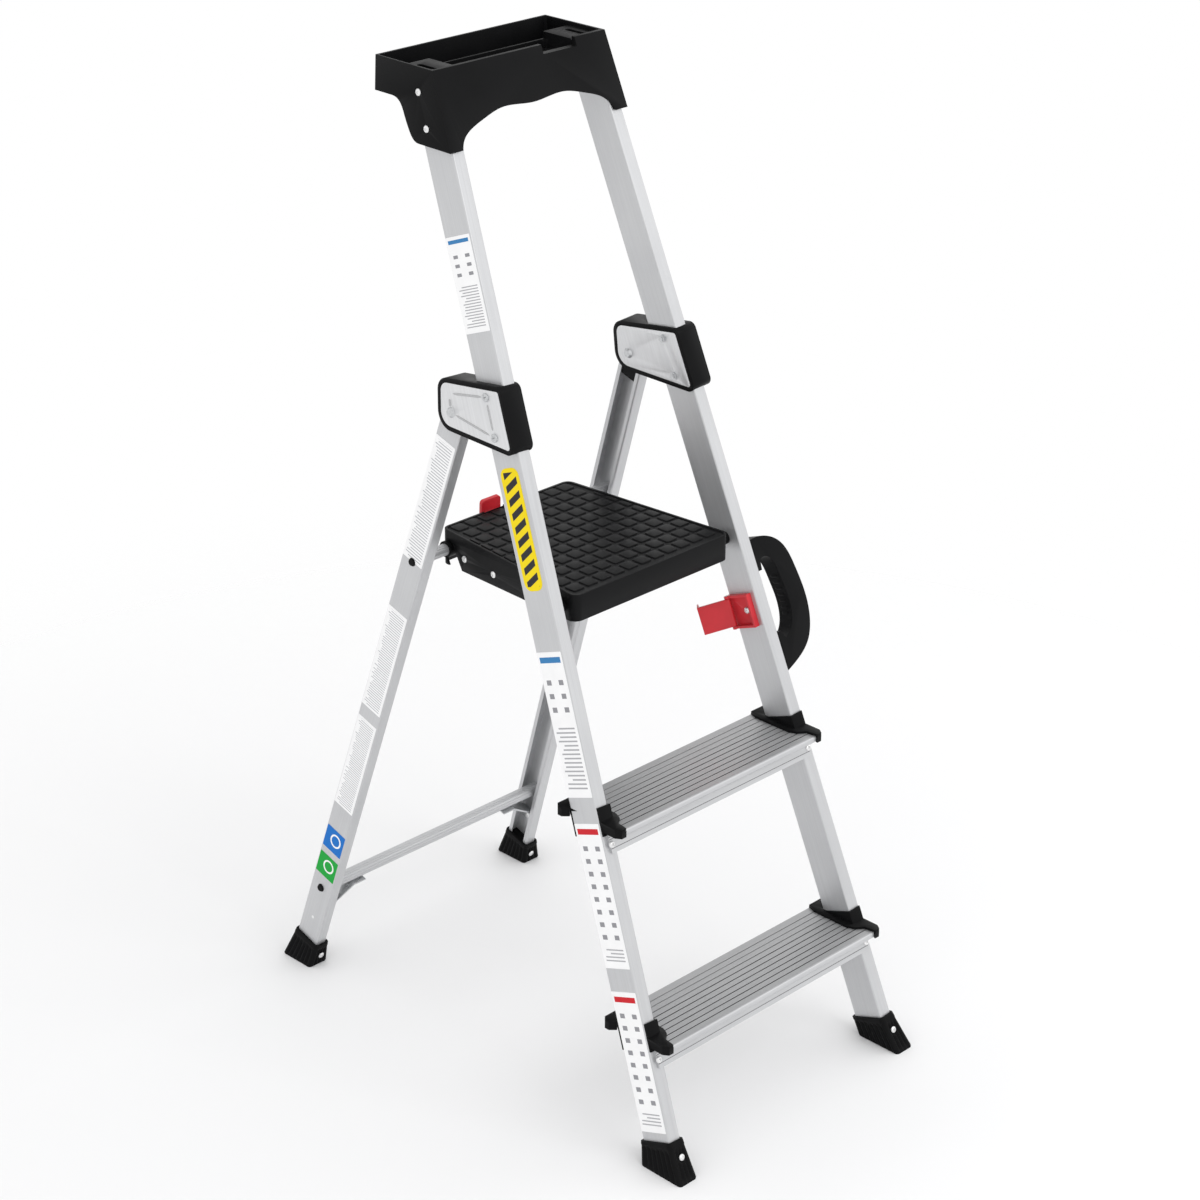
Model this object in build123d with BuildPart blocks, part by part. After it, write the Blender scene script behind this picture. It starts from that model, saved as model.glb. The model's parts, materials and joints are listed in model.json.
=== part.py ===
"""Folding three-step ladder: two treads, a platform, a tool tray and a swing-out rear frame.

+X is to the right of someone who faces the treads, +Y runs back under the ladder, +Z is up.
Pieces are drawn with X = 0 midway between the stiles, Y = 0 at their front faces on the floor and
Z = 0 on the floor; at the end the ladder is moved so that its box's bottom centre is the origin.
Pieces on the -X side are modelled and their twins are mirrored about the YZ plane.
"""
from math import cos, radians, sin, tan
import os

from build123d import *

os.makedirs("parts", exist_ok=True)

# ---- overall sizes (millimetres and degrees) -------------------------------------------------
floor_width = 439.0          # across the stiles' outer faces, at the floor
platform_height = 700.0      # top of the standing platform
tray_height = 1318.0         # top of the tool tray
lower_tread_height = 173.0
step_rise = 264.0            # from the upper tread to the platform
upper_tread_height = platform_height - step_rise
front_lean = 21.2            # stiles lean back from the vertical
rear_lean = 17.8             # rear legs lean forward from the vertical
stile_splay = 3.2            # stiles draw together towards the top
leg_splay = 2.9

# ---- extrusions ------------------------------------------------------------------------------
stile_depth = 49.0
stile_thickness = 20.0
stile_wall = 1.8
stile_corner = 2.5
leg_depth = 40.0
leg_thickness = 18.0
leg_wall = 2.0
leg_lip = 5.0
leg_corner = 2.0
floor_gap = 6.0              # rubber left under the tube ends

# ---- hinge -----------------------------------------------------------------------------------
hinge_along = 1005.0         # pivot, measured up the stile
hinge_setback = 97.0         # pivot, behind the stile's front face
leg_step = 4.6               # the leg's outer face stands this far outside the stile's
pin_diameter = 8.0
pin_clearance = 0.05
bolt_diameter = 6.0
bolt_head = 5.6              # radius of the bolts' heads and nuts
bolt_head_height = 3.0
pin_head = 7.0               # radius of the pivot pins' heads
pin_head_height = 3.4
casing_outside = 10.0        # casing side face outside the stile's outer face
casing_inside = 3.0          # casing side face inside the stile's inner face
casing_rim = 5.0             # casing material round the leg's rounded end
casing_strap = 4.7           # thickness of the strap round the front of the stile
leg_side_clearance = 1.8
leg_end_clearance = 1.0
plate_thickness = 1.4
plate_recess = 1.0
plate_inset = 6.0
hinge_bolt_depth = 25.0
hinge_bolt_high = 12.0       # upper bolt above the pivot, along the stile
hinge_bolt_low = 39.0        # lower bolt below the pivot

# ---- treads ----------------------------------------------------------------------------------
tread_overhang = 31.0        # nosing ahead of the stile's front face
tread_reach = 72.0           # tread behind the stile's front face
tread_skin = 3.0
tread_fascia = 36.0
tread_flange = 3.5
tread_end_inset = 6.0        # tread stops this far inside the stile's outer face
tread_nose = 9.0             # height of the nosing
tread_web_drop = 15.0        # where the sloping front meets the flange on the stile
tread_lip = 24.0             # height of the rear lip
tread_groove_width = 1.6
tread_groove_depth = 0.9
tread_rib_height = 9.0
tread_rivet_drop = 26.0      # rivet below the tread's top
tread_groove_count = 9
cap_wall = 2.5
cap_plate = 3.5
cap_fillet = 1.5
cap_ear = 9.0                # how far the ears turn down
cap_step = 7.5               # jog outward behind the stile
cap_collar_below = 25.0
cap_collar_height = 37.0
rivet_head = 4.6
rivet_height = 2.4
rivet_shank = 2.5

# ---- platform --------------------------------------------------------------------------------
platform_front_lead = 6.0    # platform edge ahead of the stile's front face
platform_side_gap = 15.6     # between the stile's inner face and the front corner
platform_taper = 5.6         # degrees, each side
platform_corner = 12.0
platform_skirt = 36.0
platform_rear_skirt = 49.0
platform_wall = 3.0
platform_skin = 5.0
platform_rim = 3.5
platform_recess = 1.6
platform_pivot_drop = 19.0   # pivot below the standing surface
deck_rib = 2.2
deck_rib_height = 9.0
deck_rib_pitch = 50.0
bar_drop = 24.0              # upper crossbar's centre below the standing surface
bar_to_rear_edge = 15.0
rail_thickness = 3.0
rail_height = 22.0

# ---- rear frame ------------------------------------------------------------------------------
upper_bar_diameter = 16.0
lower_bar_diameter = 18.0
bar_wall = 1.8
bar_flutes = 16
bar_flute_depth = 0.7
lower_bar_height = 130.0
sleeve_diameter = 22.0
sleeve_length = 22.0
sleeve_inset = 4.5           # sleeve's centre inside the platform's side
hook_clearance = 0.4
brace_width = 24.0
brace_thickness = 2.5
brace_reach = 52.0           # along the crossbar from the leg's inner side
brace_drop = 54.0

# ---- tray, feet, handle, clip ----------------------------------------------------------------
tray_lead = 4.0
tray_side_wall = 6.0
tray_wall = 3.0
tray_back = 106.0            # front edge to back edge at the top
tray_depth = 44.0
tray_skirt = 94.0
tray_shelf = 42.0
front_boot_height = 46.0
rear_boot_height = 42.0
boot_wall = 3.0
boot_toe = 15.0              # sole ahead of the tube's front face
boot_rivet_depth = 6.0       # rivet head's seat ahead of the tube's front face
boot_rivet_height = 26.0
boot_flare = 10.0
handle_drop = 23.0           # top of the handle below the platform, along the stile
handle_length = 181.0
handle_reach = 70.0
handle_grip = 20.0
handle_width = 24.0
handle_depth_position = 14.0
clip_drop = 111.0            # middle of the clip below the platform, along the stile
clip_height = 46.0
clip_screw_depth = 20.0
latch_width = 34.0
latch_gap = 0.5

# ---- directions and planes of the -X stile and leg -------------------------------------------
lean = radians(front_lean)
splay = radians(stile_splay)
rear = radians(rear_lean)
leg_tilt = radians(leg_splay)

depth_dir = Vector(0, cos(lean), -sin(lean))
inward_dir = Vector(cos(splay), -sin(lean) * sin(splay), -cos(lean) * sin(splay))
foot_corner = Vector(-floor_width / 2, 0, 0)
stile_side = Plane(origin=foot_corner, x_dir=depth_dir, z_dir=inward_dir)
along_dir = stile_side.y_dir
stile_section = Plane(origin=foot_corner, x_dir=inward_dir, z_dir=along_dir)


def stile_point(inward, depth, along):
    """Point of the -X stile: inward from its outer face, back from its front face, up its length."""
    return foot_corner + inward_dir * inward + depth_dir * depth + along_dir * along


def along_at(height, depth=0.0):
    """Distance up the stile at which the given depth reaches a height above the floor."""
    return (height + depth * sin(lean)) / (cos(lean) * cos(splay))


def stile_outer_x(height):
    """Distance from the middle plane to the stiles' outer faces at a height above the floor."""
    return floor_width / 2 - tan(splay) / cos(lean) * height


def mirrored_plane(plane):
    """The same plane on the +X side, facing the mirrored way."""
    return Plane(origin=(-plane.origin.X, plane.origin.Y, plane.origin.Z),
                 z_dir=(-plane.z_dir.X, plane.z_dir.Y, plane.z_dir.Z))


def both_sides(planes):
    """Planes of the -X side followed by their mirror images."""
    return list(planes) + [mirrored_plane(plane) for plane in planes]


pivot = stile_point(0, hinge_setback, hinge_along)
leg_depth_dir = Vector(0, cos(rear), sin(rear))
leg_inward_dir = Vector(cos(leg_tilt), sin(rear) * sin(leg_tilt), -cos(rear) * sin(leg_tilt))
leg_origin = Vector(pivot.X - leg_step, pivot.Y, pivot.Z)
leg_side = Plane(origin=leg_origin, x_dir=leg_depth_dir, z_dir=leg_inward_dir)
leg_along_dir = leg_side.y_dir
leg_section = Plane(origin=leg_origin, x_dir=leg_inward_dir, z_dir=leg_along_dir)


def leg_point(inward, depth, along):
    """Point of the -X leg: inward from its outer face, back from its centreline, up from the pivot."""
    return leg_origin + leg_inward_dir * inward + leg_depth_dir * depth + leg_along_dir * along


def leg_along_at(height):
    """Distance along the leg's centreline, from the pivot, at a height above the floor."""
    return (height - pivot.Z) / (cos(rear) * cos(leg_tilt))


def leg_centre_y(height):
    """Back position of the leg's centreline at a height above the floor."""
    return pivot.Y + (pivot.Z - height) * tan(rear)


pieces = {}


def finish(part, node):
    """Keep a finished piece under its node name until the whole ladder is set on its origin."""
    pieces[node] = part


def rivet(plane, head_radius, head_height, shank_radius, shank_length):
    """Domed head standing on a plane, with its shank going back through the plane."""
    with Locations(plane):
        Cone(head_radius, head_radius * 0.6, head_height, align=(Align.CENTER, Align.CENTER, Align.MIN))
        Cylinder(shank_radius, shank_length, align=(Align.CENTER, Align.CENTER, Align.MAX))


# ---- stiles ----------------------------------------------------------------------------------
stile_top = tray_height - 12.0
tread_heights = (lower_tread_height, upper_tread_height)
tread_rivet_planes = [
    Plane(origin=stile_point(stile_thickness / 2, -tread_flange, along_at(height - tread_rivet_drop)),
          z_dir=-depth_dir)
    for height in tread_heights
]
hinge_bolt_planes = [
    Plane(origin=stile_point(0, hinge_bolt_depth, hinge_along + offset), z_dir=-inward_dir)
    for offset in (hinge_bolt_high, -hinge_bolt_low)
]
tray_rivet_planes = [
    Plane(origin=stile_point(-tray_side_wall, 30.0, along_at(height, 30.0)), z_dir=-inward_dir)
    for height in (tray_height - 31.0, tray_height - 73.0)
]
foot_rivet_plane = Plane(
    origin=stile_point(stile_thickness / 2, -boot_rivet_depth, along_at(boot_rivet_height)),
    z_dir=-depth_dir)
platform_pivot_y = tan(lean) * (platform_height - platform_pivot_drop) + stile_depth / cos(lean) / 2
platform_pivot_z = platform_height - platform_pivot_drop
handle_high = along_at(platform_height) - handle_drop
handle_low = handle_high - handle_length
handle_screw_alongs = (handle_low + 14.0, handle_high - 14.0)
clip_along = along_at(platform_height) - clip_drop

with BuildPart() as left_stile_envelope:
    with BuildSketch(stile_section) as section:
        with Locations((stile_thickness / 2, stile_depth / 2)):
            RectangleRounded(stile_thickness, stile_depth, stile_corner)
    extrude(amount=along_at(stile_top) + stile_depth)
    split(bisect_by=Plane.XY.offset(floor_gap), keep=Keep.TOP)
    split(bisect_by=Plane.XY.offset(stile_top), keep=Keep.BOTTOM)

with BuildPart() as plain_stile:
    add(left_stile_envelope.part)
    with BuildSketch(stile_section) as bore:
        with Locations((stile_thickness / 2, stile_depth / 2)):
            RectangleRounded(stile_thickness - 2 * stile_wall, stile_depth - 2 * stile_wall,
                             stile_corner - stile_wall)
    extrude(amount=along_at(stile_top) + stile_depth, mode=Mode.SUBTRACT)
    for plane in tread_rivet_planes + [foot_rivet_plane]:
        with Locations(plane):
            Cylinder(rivet_shank, stile_depth, mode=Mode.SUBTRACT)
    for plane in hinge_bolt_planes:
        with Locations(plane):
            Cylinder(bolt_diameter / 2, 4 * stile_thickness, mode=Mode.SUBTRACT)
    for plane in tray_rivet_planes:
        with Locations(plane):
            Cylinder(rivet_shank, 4 * (tray_side_wall + stile_wall), mode=Mode.SUBTRACT)
    with Locations(Plane(origin=(-floor_width / 2, platform_pivot_y, platform_pivot_z), z_dir=(1, 0, 0))):
        Cylinder(pin_diameter / 2, floor_width, align=(Align.CENTER, Align.CENTER, Align.MIN),
                 mode=Mode.SUBTRACT)

# The pivot hole goes through the inner wall only, so the outer wall is put back.
with BuildPart() as left_stile:
    add(plain_stile.part)
    with BuildSketch(stile_side) as outer_wall:
        with Locations((stile_depth / 2, along_at(platform_pivot_z, stile_depth / 2))):
            Rectangle(stile_depth / 2, stile_depth)
    extrude(amount=stile_wall)

# The +X stile also carries the handle and the storage clip; it is drawn on the -X side first.
handle_screw_planes = [
    Plane(origin=stile_point(0, handle_depth_position, along), z_dir=-inward_dir)
    for along in handle_screw_alongs
]
clip_screw_plane = Plane(origin=stile_point(stile_thickness, clip_screw_depth, clip_along),
                         z_dir=inward_dir)
with BuildPart() as right_stile_twin:
    add(left_stile.part)
    for plane in handle_screw_planes + [clip_screw_plane]:
        with Locations(plane):
            Cylinder(rivet_shank, 3 * stile_wall, mode=Mode.SUBTRACT)
with BuildPart() as right_stile:
    mirror(right_stile_twin.part, about=Plane.YZ)

finish(left_stile.part, "left_stile")
finish(right_stile.part, "right_stile")

# ---- treads and their end caps ---------------------------------------------------------------


def tread_outline(height):
    """Corners of a tread's section, as back and up positions."""
    front = tan(lean) * height
    slope = tan(lean)
    flange = tread_flange / cos(lean)
    return [
        (front + tread_reach, height),
        (front - tread_overhang, height),
        (front - tread_overhang, height - tread_nose),
        (front - slope * tread_web_drop - flange, height - tread_web_drop),
        (front - slope * tread_fascia - flange, height - tread_fascia),
        (front - slope * tread_fascia, height - tread_fascia),
        (front - slope * tread_skin, height - tread_skin),
        (front + tread_reach - tread_skin, height - tread_skin),
        (front + tread_reach - tread_skin, height - tread_lip),
        (front + tread_reach, height - tread_lip),
    ]


def nose_cavity(height):
    """Corners of the hollow inside the nosing."""
    front = tan(lean) * height
    inner = front - tread_overhang + tread_skin
    return [
        (inner, height - tread_skin),
        (inner, height - tread_nose + tread_skin / 2),
        (front - 11.0, height - tread_web_drop + tread_skin - 0.5),
        (front - 7.5, height - tread_web_drop + tread_skin - 0.5),
        (front - 4.5, height - tread_skin),
    ]


for name, height in zip(("lower", "upper"), tread_heights):
    front_y = tan(lean) * height
    half_span = stile_outer_x(height) - tread_end_inset
    with BuildPart() as tread:
        with BuildSketch(Plane.YZ) as profile:
            Polygon(*tread_outline(height), align=None)
            nosing = profile.vertices().group_by(Axis.X)[0]
            fillet(nosing, 3.5)
            Polygon(*nose_cavity(height), align=None, mode=Mode.SUBTRACT)
            groove_pitch = (tread_reach + tread_overhang - 24.0) / (tread_groove_count - 1)
            with Locations((front_y + (tread_reach - tread_overhang) / 2, height)):
                with GridLocations(groove_pitch, 1, tread_groove_count, 1):
                    Rectangle(tread_groove_width, 2 * tread_groove_depth, mode=Mode.SUBTRACT)
            with Locations((front_y + 22.0, height - tread_skin), (front_y + 46.0, height - tread_skin)):
                Rectangle(tread_skin, tread_rib_height, align=(Align.CENTER, Align.MAX))
        extrude(amount=half_span, both=True)
        # The stile and the wall of the end cap pass through each end.
        for mirror_sign in (1, -1):
            corner = Vector(mirror_sign * foot_corner.X, 0, 0)
            inward = Vector(mirror_sign * inward_dir.X, inward_dir.Y, inward_dir.Z)
            with BuildSketch(Plane(origin=corner, x_dir=depth_dir, z_dir=inward)):
                with Locations((0, mirror_sign * along_at(height))):
                    Rectangle(3 * tread_reach, 3 * tread_reach, align=(Align.MIN, Align.CENTER))
            extrude(amount=stile_thickness + cap_wall, mode=Mode.SUBTRACT)
        for plane in both_sides(tread_rivet_planes):
            with Locations(plane):
                Cylinder(rivet_shank, 4 * tread_flange, mode=Mode.SUBTRACT)
    finish(tread.part, f"{name}_tread")

    inner_x = stile_thickness - stile_outer_x(height)
    side = stile_thickness - 1.0
    nose = -tread_overhang - cap_wall
    tail = tread_reach + cap_wall - 1.0
    behind_stile = stile_depth / cos(lean) + 1.0
    # Outline of the plate: outward from the stile's inner face, and back from its front face.
    cap_plan = [
        (side, -1.0), (side, nose + 7.5), (side - 5.0, nose), (side - 13.0, nose),
        (3.5, nose / 2), (-7.0, -9.0), (-12.0, 2.0), (-12.0, tail - 13.5), (-7.0, tail), (side + 2.0, tail),
        (side + cap_step, tail - 0.28 * (tail - behind_stile)),
        (side + cap_step, behind_stile + 0.37 * (tail - behind_stile)), (side, behind_stile),
    ]
    with BuildPart() as cap:
        with BuildSketch(Plane.XY.offset(height)) as plan:
            Polygon(*[(inner_x - outward, front_y + back) for outward, back in cap_plan], align=None)
            fillet(plan.vertices(), cap_fillet)
        extrude(amount=cap_plate)
        # Ears turn down over the tread's front corner and behind the stile.
        with BuildSketch(Plane.XY.offset(height)) as ears:
            Polygon(*[(inner_x - outward, front_y + back) for outward, back in cap_plan[:4]], align=None)
            Polygon(*[(inner_x - outward, front_y + back) for outward, back in cap_plan[8:]], align=None)
        extrude(amount=-cap_ear)
        # Collar round the inner, front and back faces of the stile.
        with BuildSketch(stile_section.offset(along_at(height, stile_depth / 2) - cap_collar_below)):
            with Locations((1.0, -cap_wall)):
                Rectangle(stile_thickness - 1.0 + cap_wall, stile_depth + 2 * cap_wall,
                          align=(Align.MIN, Align.MIN))
        extrude(amount=cap_collar_height)
        add(left_stile_envelope.part, mode=Mode.SUBTRACT)
        add(tread.part, mode=Mode.SUBTRACT)
        for plane in tread_rivet_planes:
            with Locations(plane):
                Cylinder(rivet_head + 1.0, 4 * cap_wall, mode=Mode.SUBTRACT)
    finish(cap.part, f"{name}_tread_cap_left")
    with BuildPart() as cap_twin:
        mirror(cap.part, about=Plane.YZ)
    finish(cap_twin.part, f"{name}_tread_cap_right")

with BuildPart() as tread_rivets:
    for plane in tread_rivet_planes:
        rivet(plane, rivet_head, rivet_height, rivet_shank, tread_flange + stile_wall + 2.5)
    mirror(about=Plane.YZ)
finish(tread_rivets.part, "tread_rivets")

# ---- rear legs -------------------------------------------------------------------------------
leg_end_radius = leg_depth / 2
upper_bar_height = platform_height - bar_drop
bar_positions = {
    "upper": (upper_bar_height, upper_bar_diameter),
    "lower": (lower_bar_height, lower_bar_diameter),
}
leg_floor_along = leg_along_at(0.0)

# Plan of the platform, which the sleeves on the upper crossbar line up with.
bar_y_upper = leg_centre_y(upper_bar_height)
deck_front = tan(lean) * platform_height - platform_front_lead
deck_rear = bar_y_upper + bar_to_rear_edge
deck_taper = tan(radians(platform_taper))
platform_front_half = stile_outer_x(platform_height) - stile_thickness - platform_side_gap
pivot_axis = Plane(origin=(0, platform_pivot_y, platform_pivot_z), z_dir=(1, 0, 0))
leg_swing = front_lean + rear_lean
swing_ratio = (90.0 - front_lean) / leg_swing


def deck_half(back, inset=0.0):
    """Half width of the tapered deck at a back position."""
    return platform_front_half - deck_taper * (back - deck_front) - inset


def deck_plan(inset):
    """Corners of the deck in plan, drawn in by an inset."""
    near, far = deck_front + inset, deck_rear - inset
    return [(-deck_half(near, inset), near), (deck_half(near, inset), near),
            (deck_half(far, inset), far), (-deck_half(far, inset), far)]


plug_shank = 4.0
plug_head = 6.0
plug_head_height = 2.6
plug_length = 14.0
rear_foot_rivet_plane = Plane(
    origin=leg_point(leg_thickness / 2, -leg_depth / 2 - boot_rivet_depth,
                     leg_floor_along + boot_rivet_height - 2.0),
    z_dir=-leg_depth_dir)

# The braces' bends are drawn in the frame's own plane, seen from the front.
bar_y = leg_centre_y(lower_bar_height)
frame_plane = Plane(origin=(0, bar_y, lower_bar_height), x_dir=(1, 0, 0), z_dir=-leg_depth_dir)
web_x = leg_point(leg_wall, 0, leg_along_at(lower_bar_height)).X
tab_offset = brace_thickness / 2 / cos(leg_tilt)
tab_length = 20.0
bend_clearance = 5.0
under_bar = -(lower_bar_diameter + brace_thickness) / 2
tab_top = under_bar - brace_drop + tab_length
tab_bottom = under_bar - brace_drop
brace_rivet_radius = 2.4
brace_rivet_planes = [
    Plane(origin=leg_point(leg_wall + brace_thickness, 0,
                           leg_along_at(lower_bar_height) + (tab_top + tab_bottom) / 2 - 2.0),
          z_dir=leg_inward_dir),
    Plane(origin=frame_plane.from_local_coords((web_x + brace_reach + tab_length / 2 + 4.0,
                                                under_bar - brace_thickness / 2, 0)),
          z_dir=-frame_plane.y_dir),
]

with BuildPart() as left_leg_envelope:
    with BuildSketch(leg_section) as section:
        with Locations((leg_thickness / 2, 0)):
            RectangleRounded(leg_thickness, leg_depth, leg_corner)
    extrude(amount=leg_floor_along - leg_depth)
    split(bisect_by=Plane.XY.offset(floor_gap), keep=Keep.TOP)
    with BuildSketch(leg_side) as rounded_end:
        Circle(leg_end_radius)
    extrude(amount=leg_thickness)

with BuildPart() as left_leg:
    add(left_leg_envelope.part)
    with BuildSketch(leg_section.offset(leg_end_radius)) as channel:
        with Locations((leg_wall, 0)):
            Rectangle(leg_thickness - 2 * leg_wall, leg_depth - 2 * leg_wall,
                      align=(Align.MIN, Align.CENTER))
            Rectangle(leg_thickness, leg_depth - 2 * leg_wall - 2 * leg_lip,
                      align=(Align.MIN, Align.CENTER))
    extrude(amount=leg_floor_along - 2 * leg_depth, mode=Mode.SUBTRACT)
    with Locations(Plane(origin=leg_point(0, 0, 0), z_dir=(1, 0, 0))):
        Cylinder(pin_diameter / 2 + pin_clearance, 4 * leg_thickness, mode=Mode.SUBTRACT)
    for height, diameter in bar_positions.values():
        with Locations(Plane(origin=leg_point(0, 0, leg_along_at(height)), z_dir=(1, 0, 0))):
            Cylinder(plug_shank, 3 * leg_wall, mode=Mode.SUBTRACT)
    with Locations(brace_rivet_planes[0]):
        Cylinder(brace_rivet_radius, 4 * (brace_thickness + leg_wall), mode=Mode.SUBTRACT)
    with Locations(rear_foot_rivet_plane):
        Cylinder(rivet_shank, 4 * boot_rivet_depth, mode=Mode.SUBTRACT)
finish(left_leg.part, "left_rear_leg")
with BuildPart() as right_leg:
    mirror(left_leg.part, about=Plane.YZ)
finish(right_leg.part, "right_rear_leg")

# Nylon block that fills the channel at the pivot and carries the pin.
block_length = 44.0
with BuildPart() as left_pivot_block:
    with BuildSketch(leg_side.offset(leg_wall)) as outline:
        Circle(leg_end_radius - leg_wall)
        Rectangle(leg_depth - 2 * leg_wall, block_length, align=(Align.CENTER, Align.MAX))
    extrude(amount=leg_thickness - 2 * leg_wall)
    with Locations(Plane(origin=leg_point(0, 0, 0), z_dir=(1, 0, 0))):
        Cylinder(pin_diameter / 2 + pin_clearance, 4 * leg_thickness, mode=Mode.SUBTRACT)
    add(left_leg.part, mode=Mode.SUBTRACT)
finish(left_pivot_block.part, "left_pivot_block")
with BuildPart() as right_pivot_block:
    mirror(left_pivot_block.part, about=Plane.YZ)
finish(right_pivot_block.part, "right_pivot_block")

# ---- crossbars, their sleeves and plugs ------------------------------------------------------
web_planes = both_sides([Plane(origin=leg_point(leg_wall, 0, 0), z_dir=leg_inward_dir)])

for name, (height, diameter) in bar_positions.items():
    centre_line = Plane(origin=(0, leg_centre_y(height), height), z_dir=(1, 0, 0))
    with BuildPart() as bar:
        with BuildSketch(centre_line) as ring:
            Circle(diameter / 2)
            with PolarLocations(diameter / 2, bar_flutes):
                Circle(bar_flute_depth, mode=Mode.SUBTRACT)
            Circle(diameter / 2 - bar_wall, mode=Mode.SUBTRACT)
        extrude(amount=floor_width, both=True)
        for web_plane in web_planes:
            split(bisect_by=web_plane, keep=Keep.TOP)
        if name == "lower":
            for plane in both_sides(brace_rivet_planes[1:]):
                with Locations(plane):
                    Cylinder(brace_rivet_radius, 4 * (brace_thickness + bar_wall), mode=Mode.SUBTRACT)
    finish(bar.part, f"{name}_crossbar")

with BuildPart() as crossbar_plugs:
    for height, diameter in bar_positions.values():
        plug_plane = Plane(origin=leg_point(0, 0, leg_along_at(height)), z_dir=-leg_inward_dir)
        with Locations(plug_plane):
            Cone(plug_head, plug_head * 0.75, plug_head_height,
                 align=(Align.CENTER, Align.CENTER, Align.MIN))
        with BuildSketch(Plane(origin=leg_point(0, 0, leg_along_at(height)), z_dir=(1, 0, 0))):
            Circle(plug_shank - 0.1)
        extrude(amount=plug_length)
    mirror(about=Plane.YZ)
finish(crossbar_plugs.part, "crossbar_plugs")

bar_centre = Plane(origin=(0, bar_y_upper, upper_bar_height), z_dir=(1, 0, 0))
sleeve_centre = deck_half(bar_y_upper) - sleeve_inset
with BuildPart() as crossbar_sleeves:
    for mirror_sign in (1, -1):
        with BuildSketch(bar_centre.offset(mirror_sign * sleeve_centre)) as ring:
            Circle(sleeve_diameter / 2)
            Circle(upper_bar_diameter / 2, mode=Mode.SUBTRACT)
        extrude(amount=sleeve_length / 2, both=True)
finish(crossbar_sleeves.part, "crossbar_sleeves")

# ---- braces ----------------------------------------------------------------------------------
# Each brace is a bent strip: a tab under the lower crossbar, a diagonal and a tab on the leg's web.
with BuildPart() as left_brace:
    with BuildSketch(frame_plane):
        with BuildLine():
            Polyline(
                (web_x + brace_reach + tab_length, under_bar),
                (web_x + brace_reach, under_bar),
                (web_x + tab_offset + tan(leg_tilt) * tab_top, tab_top),
                (web_x + tab_offset + tan(leg_tilt) * tab_bottom, tab_bottom),
            )
            offset(amount=brace_thickness / 2, side=Side.BOTH)
        make_face()
    extrude(amount=brace_width / 2, both=True)
    for plane in brace_rivet_planes:
        with Locations(plane):
            Cylinder(brace_rivet_radius, 6 * brace_thickness, mode=Mode.SUBTRACT)
    add(left_leg.part, mode=Mode.SUBTRACT)
finish(left_brace.part, "left_brace")
with BuildPart() as right_brace:
    mirror(left_brace.part, about=Plane.YZ)
finish(right_brace.part, "right_brace")

with BuildPart() as brace_rivets:
    rivet(brace_rivet_planes[0], rivet_head, rivet_height, brace_rivet_radius, brace_thickness + leg_wall)
    rivet(brace_rivet_planes[1], rivet_head, rivet_height, brace_rivet_radius, brace_thickness + 1.5)
    mirror(about=Plane.YZ)
finish(brace_rivets.part, "brace_rivets")

# ---- hinge casings, plates, bolts and pivot pins ---------------------------------------------
casing_radius = leg_end_radius + casing_rim
pivot_2d = (hinge_setback, hinge_along)


def casing_outline(plane, inset=0.0):
    """Hull of the four rounded corners of the casing, drawn in (back, up the stile)."""
    with BuildSketch(plane) as outline:
        with BuildLine():
            CenterArc(pivot_2d, casing_radius - inset, 0, 360)
            CenterArc((hinge_setback - 1.0, hinge_along + 26.0), 18.0 - inset, 0, 360)
            CenterArc((5.0, hinge_along + 13.0), 10.0 - inset, 0, 360)
            CenterArc((5.0, hinge_along - 53.0), 10.0 - inset, 0, 360)
        make_hull()
    return outline.sketch


with BuildPart() as left_casing:
    extrude(casing_outline(stile_side.offset(-casing_outside)),
            amount=casing_outside + stile_thickness + casing_inside)
    extrude(casing_outline(stile_side.offset(-casing_outside), plate_inset),
            amount=plate_recess, mode=Mode.SUBTRACT)
    extrude(casing_outline(stile_side.offset(stile_thickness + casing_inside), plate_inset),
            amount=-plate_recess, mode=Mode.SUBTRACT)
    # Slot for the leg: its rounded end and the whole sector that it swings through.
    with BuildSketch(stile_side.offset(-leg_step - leg_side_clearance)):
        with Locations(pivot_2d):
            Circle(leg_end_radius + leg_end_clearance)
            for swing in (0.0, leg_swing / 2, leg_swing):
                with Locations(Rotation(0, 0, swing)):
                    Rectangle(leg_depth + 2 * leg_end_clearance, 3 * leg_depth,
                              align=(Align.CENTER, Align.MAX))
    extrude(amount=leg_thickness + 2 * leg_side_clearance, mode=Mode.SUBTRACT)
    add(left_stile_envelope.part, mode=Mode.SUBTRACT)
    for plane in hinge_bolt_planes:
        with Locations(plane):
            Cylinder(bolt_diameter / 2, 6 * stile_thickness, mode=Mode.SUBTRACT)
    with Locations(Plane(origin=pivot, z_dir=(1, 0, 0))):
        Cylinder(pin_diameter / 2, 6 * stile_thickness, mode=Mode.SUBTRACT)
finish(left_casing.part, "left_hinge_casing")

plate_sides = {
    "outer": stile_side.offset(-casing_outside + plate_recess - plate_thickness),
    "inner": stile_side.offset(stile_thickness + casing_inside - plate_recess),
}
for name, plane in plate_sides.items():
    with BuildPart() as plate:
        extrude(casing_outline(plane, plate_inset + 0.3), amount=plate_thickness)
        for bolt_plane in hinge_bolt_planes:
            with Locations(bolt_plane):
                Cylinder(bolt_diameter / 2, 6 * stile_thickness, mode=Mode.SUBTRACT)
        with Locations(Plane(origin=pivot, z_dir=(1, 0, 0))):
            Cylinder(pin_diameter / 2, 6 * stile_thickness, mode=Mode.SUBTRACT)
    finish(plate.part, f"left_{name}_hinge_plate")
    with BuildPart() as plate_twin:
        mirror(plate.part, about=Plane.YZ)
    finish(plate_twin.part, f"right_{name}_hinge_plate")

with BuildPart() as right_casing:
    mirror(left_casing.part, about=Plane.YZ)
finish(right_casing.part, "right_hinge_casing")

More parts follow.
